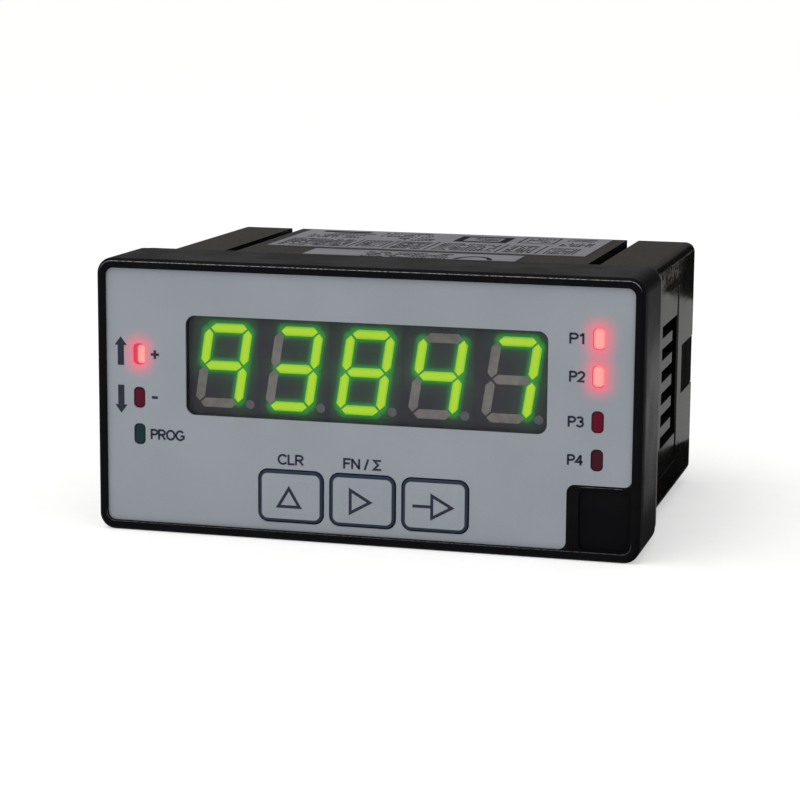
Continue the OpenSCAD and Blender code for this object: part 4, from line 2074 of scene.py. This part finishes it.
class FieldPart(Enum):
    """What a field of a label is filled with."""

    LINES = "lines"
    BOX = "box"
    RULE = "rule"
    ARCH = "arch"


@dataclass(frozen=True)
class LabelField:
    """One printed field of a label.

    It has what fills it, its corners from the label's near left corner, the width of its lines and
    the seed of its marks.
    """

    part: FieldPart
    low: Flat
    high: Flat
    stroke: float = 0.35
    seed: int = 0


def upright_rules(start: float, end: float, width: float, *places: float) -> Iterator[LabelField]:
    """Ruled lines of one width, from front to rear, at several places across a label."""
    return (LabelField(FieldPart.RULE, (x, start), (x + width, end)) for x in places)


@dataclass
class Labels:
    """The two silver labels on the case's top, with ruled fields in place of words."""

    shop: Workshop
    thickness: float = 0.02
    mark_pitch: float = 0.68
    row_pitch: float = 1.9
    mark_size: Flat = (0.5, 1.4)
    least_mark: Point = (0.55, 0.65, 1.0)
    most_mark: Point = (1.35, 1.1, 1.0)
    kept: float = 0.84
    arch_ends: Range = (165.0, 15.0)
    rating_fields: tuple[LabelField, ...] = (
        *upright_rules(1.2, 14.2, 0.3, 14.9, 21.9, 29.7, 43.1, 50.6),
        LabelField(FieldPart.LINES, (1.4, 1.6), (14.0, 13.0), seed=11),
        LabelField(FieldPart.BOX, (16.0, 3.2), (21.0, 13.0)),
        LabelField(FieldPart.LINES, (16.8, 4.4), (20.2, 11.8), seed=13),
        LabelField(FieldPart.LINES, (23.0, 1.8), (28.8, 13.0), seed=17),
        LabelField(FieldPart.LINES, (31.0, 1.8), (42.2, 13.0), seed=19),
        LabelField(FieldPart.LINES, (44.4, 1.8), (49.6, 13.0), seed=23),
        LabelField(FieldPart.LINES, (52.0, 1.8), (57.8, 11.2), seed=29),
        LabelField(FieldPart.RULE, (3.6, 25.1), (13.0, 27.1)),
        LabelField(FieldPart.RULE, (6.2, 23.2), (14.6, 24.1)),
        LabelField(FieldPart.LINES, (2.7, 15.8), (13.2, 21.6), seed=31),
        LabelField(FieldPart.LINES, (16.2, 20.6), (26.2, 27.0), seed=37),
        LabelField(FieldPart.LINES, (20.7, 15.4), (27.6, 19.2), seed=41),
        LabelField(FieldPart.BOX, (31.7, 16.4), (42.0, 26.0), stroke=1.6),
        LabelField(FieldPart.LINES, (35.2, 19.6), (39.8, 23.2), seed=43),
        LabelField(FieldPart.BOX, (44.0, 17.8), (51.0, 27.4)),
        LabelField(FieldPart.LINES, (45.2, 19.8), (50.0, 25.8), seed=47),
        LabelField(FieldPart.LINES, (52.6, 14.8), (58.6, 20.6), seed=53),
        LabelField(FieldPart.LINES, (52.6, 23.2), (58.6, 27.0), seed=59),
    )
    wiring_fields: tuple[LabelField, ...] = (
        LabelField(FieldPart.LINES, (10.9, 4.2), (26.7, 12.0), seed=61),
        LabelField(FieldPart.RULE, (7.2, 1.9), (24.7, 2.6)),
        LabelField(FieldPart.ARCH, (28.3, 3.6), (34.9, 9.6), stroke=0.9),
    )

    def ruled_tree(self) -> Tree:
        """Builds the tree that rules rows of short bars of uneven size, with some left out.

        Returns:
            The tree.
        """
        tree = Tree("ruled_rows")
        width, depth, mark_width, mark_depth, thickness, kept = tree.sizes(
            Input.LENGTH, "Width", "Depth", "Mark width", "Mark depth", "Thickness", "Kept"
        )
        columns, rows, seed = tree.sizes(Input.COUNT, "Columns", "Rows", "Seed")
        (ink,) = tree.sizes(Input.MATERIAL, "Ink")
        grid = tree.node("GeometryNodeMeshGrid", {
            "Size X": width,
            "Size Y": depth,
            "Vertices X": columns,
            "Vertices Y": rows,
        })
        size = tree.node("ShaderNodeCombineXYZ", {0: mark_width, 1: mark_depth, 2: thickness})
        block = tree.node("GeometryNodeMeshCube", {"Size": size.outputs[0]})
        # The Random Value node's sockets go by number, because its kinds share their names.
        uneven = tree.node("FunctionNodeRandomValue", {"Seed": seed}, data_type="FLOAT_VECTOR")
        uneven.inputs[0].default_value = self.least_mark
        uneven.inputs[1].default_value = self.most_mark
        chance = {"Probability": kept, "Seed": seed}
        chosen = tree.node("FunctionNodeRandomValue", chance, data_type="BOOLEAN")
        placed = tree.node("GeometryNodeInstanceOnPoints", {
            "Points": grid.outputs[0],
            "Selection": chosen.outputs[3],
            "Instance": block.outputs[0],
            "Scale": uneven.outputs[0],
        })
        tree.finish(placed.outputs[0], ink)
        return tree

    def rows(self, entry: LabelField, tree: Tree) -> Mesh:
        """Fills one field with rows of marks.

        Args:
            entry: The field.
            tree: The tree that rules the rows.

        Returns:
            The marks, round the field's middle.
        """
        width, depth = (high - low for low, high in zip(entry.low, entry.high))
        mesh = tree.bake({
            "Width": width - self.mark_size[0],
            "Depth": depth - self.mark_size[1],
            "Columns": round(width / self.mark_pitch),
            "Rows": round(depth / self.row_pitch),
            "Mark width": self.mark_size[0],
            "Mark depth": self.mark_size[1],
            "Thickness": self.thickness,
            "Kept": self.kept,
            "Seed": entry.seed,
            "Ink": self.shop.material(self.shop.palette.label_ink),
        })
        mesh.transform(Matrix.Translation((0.0, 0.0, self.thickness / 2)))
        return mesh

    def printed(self, name: str, label: str, fields: Sequence[LabelField], tree: Tree) -> Mesh:
        """Draws the fields of one label.

        Args:
            name: The mesh's name.
            label: The label's node.
            fields: The fields.
            tree: The tree that rules the rows.

        Returns:
            The mesh, laid on the label.
        """
        sheet = Sheet(self.thickness)
        for entry in fields:
            area = Patch.between(entry.low, entry.high, 0.0)
            if entry.part is FieldPart.BOX:
                sheet.frame(entry.low, entry.high, entry.stroke)
            elif entry.part is FieldPart.RULE:
                sheet.rectangle(entry.low, entry.high)
            elif entry.part is FieldPart.ARCH:
                foot = (area.middle[0], entry.low[1])
                sheet.ribbon(arc(foot, (area.size[0] / 2, area.size[1]), *self.arch_ends), entry.stroke)
            else:
                sheet.take(self.rows(entry, tree), area.middle)
        low, high = self.shop.span(label)
        return sheet.laid(name, Matrix.Translation((low[0], low[1], high[2])))

    def build(self) -> None:
        """Dresses the labels and adds their print."""
        palette = self.shop.palette
        tree = self.ruled_tree()
        for kind, fields in (("rating", self.rating_fields), ("wiring", self.wiring_fields)):
            label = f"{kind}_label"
            self.shop.dress(palette.label, label)
            self.shop.add(self.printed(f"{kind}_print", label, fields, tree), palette.label_ink)


@dataclass
class Housing:
    """The case and its rear cover."""

    shop: Workshop
    case: Finish = PolishedPlastic(
        name="case_plastic",
        colour=paint(12, 11, 10),
        streak=paint(22, 21, 19),
        # The level colour of the top and bottom is painted light.
        lit_level_colour=paint(28, 26, 20),
        # The deep colour is painted shade in the grooves and slots.
        recess_shade_colour=paint(3, 3, 3),
        # The lip colour is a painted highlight.
        lip_highlight_colour=paint(60, 59, 57),
        scuff_colour=paint(82, 80, 77),
        roughness=0.07,
        grained=0.62,
        specular=0.065,
        wall=Patch((0.0, 0.0), (91.6, 44.8), 1.8),
    )
    cover: Finish = MouldedPlastic(
        name="cover_plastic", colour=paint(14, 14, 15), rubbed=paint(22, 22, 22),
        roughness=0.8, specular=0.02,
    )

    def build(self) -> None:
        """Dresses the case and the cover."""
        self.shop.dress(self.case, "case")
        self.shop.dress(self.cover, "rear_cover")


@dataclass
class Terminals:
    """The three rows of screw terminals, with a plated clamp in each wire entry."""

    shop: Workshop
    blocks: tuple[str, ...] = ("supply_terminals", "input_terminals", "relay_terminals")
    pitch: float = 5.08
    clamp_depth: float = 4.0
    clamp_size: Flat = (2.7, 3.1)
    wall: float = 0.35
    sink: float = 2.2
    plastic: Finish = MouldedPlastic(
        name="terminal_plastic", colour=paint(38, 84, 56), rubbed=paint(54, 100, 70),
        roughness=0.45, specular=0.35,
    )

    def clamp_tree(self) -> Tree:
        """Builds the tree that sets a row of open clamp frames.

        Returns:
            The tree.
        """
        tree = Tree("clamp_row")
        (poles,) = tree.sizes(Input.COUNT, "Poles")
        pitch, width, height, depth, wall = tree.sizes(
            Input.LENGTH, "Pitch", "Width", "Height", "Depth", "Wall"
        )
        (metal,) = tree.sizes(Input.MATERIAL, "Metal")
        step = tree.node("ShaderNodeCombineXYZ", {0: pitch})
        line = tree.node("GeometryNodeMeshLine", {"Count": poles, "Offset": step.outputs[0]})
        loop = tree.node("GeometryNodeCurvePrimitiveQuadrilateral", {0: width, 1: height})
        rim = tree.node("GeometryNodeCurvePrimitiveQuadrilateral", {0: wall, 1: depth})
        frame = tree.node("GeometryNodeCurveToMesh", {0: loop.outputs[0], 1: rim.outputs[0]})
        row = {"Points": line.outputs[0], "Instance": frame.outputs[0]}
        placed = tree.node("GeometryNodeInstanceOnPoints", row)
        tree.finish(placed.outputs[0], metal)
        return tree

    def clamp_row(self, tree: Tree, block: str) -> Mesh:
        """Makes the clamps of one block, in the half of it that is away from the middle of the part.

        Args:
            tree: The tree that sets a row of clamps.
            block: The block's node.

        Returns:
            The row, in metres.
        """
        low, high = self.shop.span(block)
        middle = (low[2] + high[2]) / 2
        mesh = tree.bake({
            "Poles": round((high[0] - low[0]) / self.pitch),
            "Pitch": self.pitch,
            "Width": self.clamp_size[0] - self.wall,
            "Height": self.clamp_size[1] - self.wall,
            "Depth": self.clamp_depth,
            "Wall": self.wall,
            "Metal": self.shop.material(self.shop.palette.steel),
        })
        place = Matrix.Translation((
            low[0] + self.pitch / 2,
            high[1] - self.sink - self.clamp_depth / 2,
            middle + math.copysign((high[2] - low[2]) / 4, middle),
        ))
        mesh.transform(Matrix.Scale(MM, 4) @ place @ Matrix.Rotation(QUARTER_TURN, 4, "X"))
        return mesh

    def clamps(self) -> Mesh:
        """Makes the clamps of all three rows as one mesh.

        Returns:
            The mesh.
        """
        tree = self.clamp_tree()
        joined = bmesh.new()
        for block in self.blocks:
            row = self.clamp_row(tree, block)
            joined.from_mesh(row)
            bpy.data.meshes.remove(row)
        bmesh.ops.recalc_face_normals(joined, faces=joined.faces)
        result = bpy.data.meshes.new("terminal_clamps")
        joined.to_mesh(result)
        joined.free()
        return result

    def build(self) -> None:
        """Dresses the blocks and screws, and adds the clamps."""
        steel = self.shop.palette.steel
        self.shop.dress(self.plastic, *self.blocks)
        self.shop.dress(steel, "terminal_screws")
        clamps = self.shop.add(self.clamps(), steel)


@dataclass
class Electronics:
    """The boards inside the case and what stands on them."""

    shop: Workshop
    core: Finish = Laminate(
        name="core_steel", colour=(0.3, 0.3, 0.32, 1.0), joint=(0.08, 0.08, 0.09, 1.0),
        pitch=0.5, metallic=0.8, along=Axis.Y,
    )
    winding: Finish = Laminate(
        name="winding_tape", colour=paint(206, 178, 84), joint=paint(160, 130, 50),
        pitch=3.2, along=Axis.Z,
    )
    sleeve: Finish = MouldedPlastic(
        name="capacitor_sleeve", colour=paint(28, 34, 66), rubbed=paint(40, 48, 84),
        roughness=0.35, specular=0.4,
    )
    relay: Finish = MouldedPlastic(
        name="relay_plastic", colour=paint(36, 74, 128), rubbed=paint(52, 92, 146),
        roughness=0.4, specular=0.4,
    )

    def build(self) -> None:
        """Dresses the boards and their parts."""
        palette = self.shop.palette
        self.shop.dress(palette.board, "display_board", "main_board", "relay_board")
        self.shop.dress(palette.black_part, "display_link", "relay_link", "processor")
        self.shop.dress(self.core, "transformer_core")
        self.shop.dress(self.winding, "transformer_winding")
        self.shop.dress(self.sleeve, "smoothing_capacitor", "filter_capacitor")
        self.shop.dress(self.relay, "relay_1", "relay_2", "relay_3", "relay_4")


# Studio


@dataclass(frozen=True)
class SoftLamp:
    """A soft rectangular lamp, with its places and size in metres and its power in watts."""

    name: str
    place: Point
    size: Flat
    power: float
    colour: Point
    target: Point = (0.0, 0.0, 0.0)

    def hang(self) -> None:
        """Hangs the lamp and points it at its target."""
        data = bpy.data.lights.new(self.name, "AREA")
        data.shape = "RECTANGLE"
        data.size, data.size_y = self.size
        data.energy = self.power
        data.color = self.colour
        lamp = bpy.data.objects.new(self.name, data)
        aim = (Vector(self.target) - Vector(self.place)).to_track_quat("-Z", "Y")
        lamp.matrix_world = Matrix.Translation(self.place) @ aim.to_matrix().to_4x4()
        bpy.context.collection.objects.link(lamp)


@dataclass(frozen=True)
class SoftSun:
    """A distant soft light, by its direction from the part, its width in degrees and its strength."""

    name: str
    towards: Point
    softness: float
    strength: float
    colour: Point

    def hang(self) -> None:
        """Sets the light."""
        data = bpy.data.lights.new(self.name, "SUN")
        data.angle = math.radians(self.softness)
        data.energy = self.strength
        data.color = self.colour
        sun = bpy.data.objects.new(self.name, data)
        sun.matrix_world = (-Vector(self.towards)).to_track_quat("-Z", "Y").to_matrix().to_4x4()
        bpy.context.collection.objects.link(sun)


@dataclass(frozen=True)
class Card:
    """A grey card that is seen only in reflections, with its corners from the floor's own plane."""

    CLOUD = 8
    CLOUD_SIZE = 2.0

    name: str
    shade: int
    corners: tuple[Point, ...]

    def set_up(self, floor_z: float) -> None:
        """Sets up the card.

        Args:
            floor_z: Height of the floor.
        """
        mesh = bpy.data.meshes.new(self.name)
        points = [Vector((x, y, floor_z + z)) * MM for x, y, z in self.corners]
        mesh.from_pydata(points, [], [tuple(range(len(points)))])
        dark, pale = (paint(shade, shade, shade) for shade in (self.shade, self.shade + self.CLOUD))
        paper = Paper(name=f"{self.name}_paper", colour=dark, pale=pale, cloud_size=self.CLOUD_SIZE)
        mesh.materials.append(paper.make())
        card = bpy.data.objects.new(self.name, mesh)
        card.visible_camera = False
        card.visible_diffuse = False
        card.visible_shadow = False
        bpy.context.collection.objects.link(card)
        card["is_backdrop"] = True


def lying(height: float, *corners: Flat) -> tuple[Point, ...]:
    """Corners of a card that lies at a height above the floor."""
    return tuple((x, y, height) for x, y in corners)


def standing(depth: float, left: float, right: float, top: float) -> tuple[Point, ...]:
    """Corners of an upright card that stands on the floor behind the part."""
    return ((left, depth, 0.0), (right, depth, 0.0), (right, depth, top), (left, depth, top))


@dataclass
class Studio:
    """Floor, cards, light, world and camera round the part."""

    shop: Workshop
    floor_gap: float = 0.02
    floor_size: float = 30.0
    floor_paper: Finish = FloorPaper(
        name="floor_paper", colour=paint(252, 252, 252), pale=paint(254, 254, 254),
        cloud_size=6.0, roughness=0.9, light=0.45,
    )
    camera_place: Point = (110.071, -410.505, 72.711)
    camera_right: Point = (0.96638, 0.25698, 0.00769)
    camera_down: Point = (0.05170, -0.16495, -0.98494)
    camera_forward: Point = (-0.25185, 0.95223, -0.17269)
    lens: float = 109.44
    sensor: float = 36.0
    clip: Range = (0.01, 100.0)
    ambient: float = 0.66
    ambient_colour: Rgba = (1.0, 0.99, 0.98, 1.0)
    cards: tuple[Card, ...] = (
        # The near card is a dark sheet on the floor beside the right side, seen only in reflections:
        # painted shade that stands in for the part's own shadow there.
        Card("shadow_card", 16, lying(0.3, (46.0, -8.0), (57.8, 69.0), (46.0, 116.0))),
        Card("far_card", 16, lying(0.3, (46.0, 271.0), (400.0, 718.0), (400.0, 1200.0), (46.0, 1200.0))),
        Card("grey_card", 156, lying(0.15, (46.0, -40.0), (400.0, -40.0), (400.0, 900.0), (46.0, 900.0))),
        Card("back_card", 16, standing(1500.0, 60.0, 1500.0, 724.02)),
    )
    lights: tuple[SoftSun | SoftLamp, ...] = (
        SoftSun(
            "high_sun", towards=(-0.35, -0.45, 1.0), softness=50.0, strength=1.25, colour=(1.0, 0.99, 0.97)
        ),
        SoftLamp(
            "front_fill", place=(-0.2, -0.9, 0.35), size=(0.9, 0.6), power=1.0, colour=(0.97, 0.99, 1.0)
        ),
        SoftLamp(
            "edge_strip", place=(-0.05, -0.12, 0.7), size=(0.9, 0.03), power=0.8, colour=(1.0, 1.0, 1.0)
        ),
    )

    def camera(self) -> None:
        """Sets the camera at the photograph's angle."""
        data = bpy.data.cameras.new("camera")
        data.sensor_fit = "HORIZONTAL"
        data.sensor_width = self.sensor
        data.lens = self.lens
        data.clip_start, data.clip_end = self.clip
        camera = bpy.data.objects.new("camera", data)
        right = Vector(self.camera_right).normalized()
        down = Vector(self.camera_down).normalized()
        forward = Vector(self.camera_forward).normalized()
        turn = Matrix((right, -down, -forward)).transposed().to_4x4()
        camera.matrix_world = Matrix.Translation(Vector(self.camera_place) * MM) @ turn
        bpy.context.collection.objects.link(camera)
        bpy.context.scene.camera = camera

    def floor(self, floor_z: float) -> None:
        """Lays a plain pale floor.

        Args:
            floor_z: Height of the floor.
        """
        sheet = bmesh.new()
        bmesh.ops.create_grid(sheet, x_segments=2, y_segments=2, size=self.floor_size)
        sheet.transform(Matrix.Translation((0.0, 0.0, floor_z * MM)))
        mesh = bpy.data.meshes.new("floor")
        sheet.to_mesh(mesh)
        sheet.free()
        mesh.materials.append(self.floor_paper.make())
        floor = bpy.data.objects.new("floor", mesh)
        bpy.context.collection.objects.link(floor)
        floor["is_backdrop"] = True

    def world(self) -> None:
        """Fills the room with an even, plain light."""
        world = bpy.data.worlds.new("studio")
        bpy.context.scene.world = world
        world.use_nodes = True
        background = world.node_tree.nodes["Background"]
        background.inputs["Color"].default_value = self.ambient_colour
        background.inputs["Strength"].default_value = self.ambient

    def build(self) -> None:
        """Sets up the whole studio."""
        bpy.context.scene.view_settings.view_transform = "Standard"
        floor_z = self.shop.span("front_bezel")[0][2] - self.floor_gap
        self.camera()
        self.floor(floor_z)
        for card in self.cards:
            card.set_up(floor_z)
        self.world()
        for light in self.lights:
            light.hang()
        LOG.info("studio is set")


def main() -> None:
    """Builds the studio, then dresses the counter piece by piece."""
    logging.basicConfig(level=logging.INFO, format="%(name)s: %(message)s")
    shop = Workshop()
    lights = Indicators(shop)
    overlay = Overlay(shop, lights)
    for part in (
        Studio(shop),
        Bezel(shop, overlay),
        overlay,
        lights,
        Display(shop),
        Keypad(shop),
        Housing(shop),
        Labels(shop),
        Terminals(shop),
        Electronics(shop),
    ):
        part.build()
    shop.write_sizes()


if __name__ == "__main__":
    main()
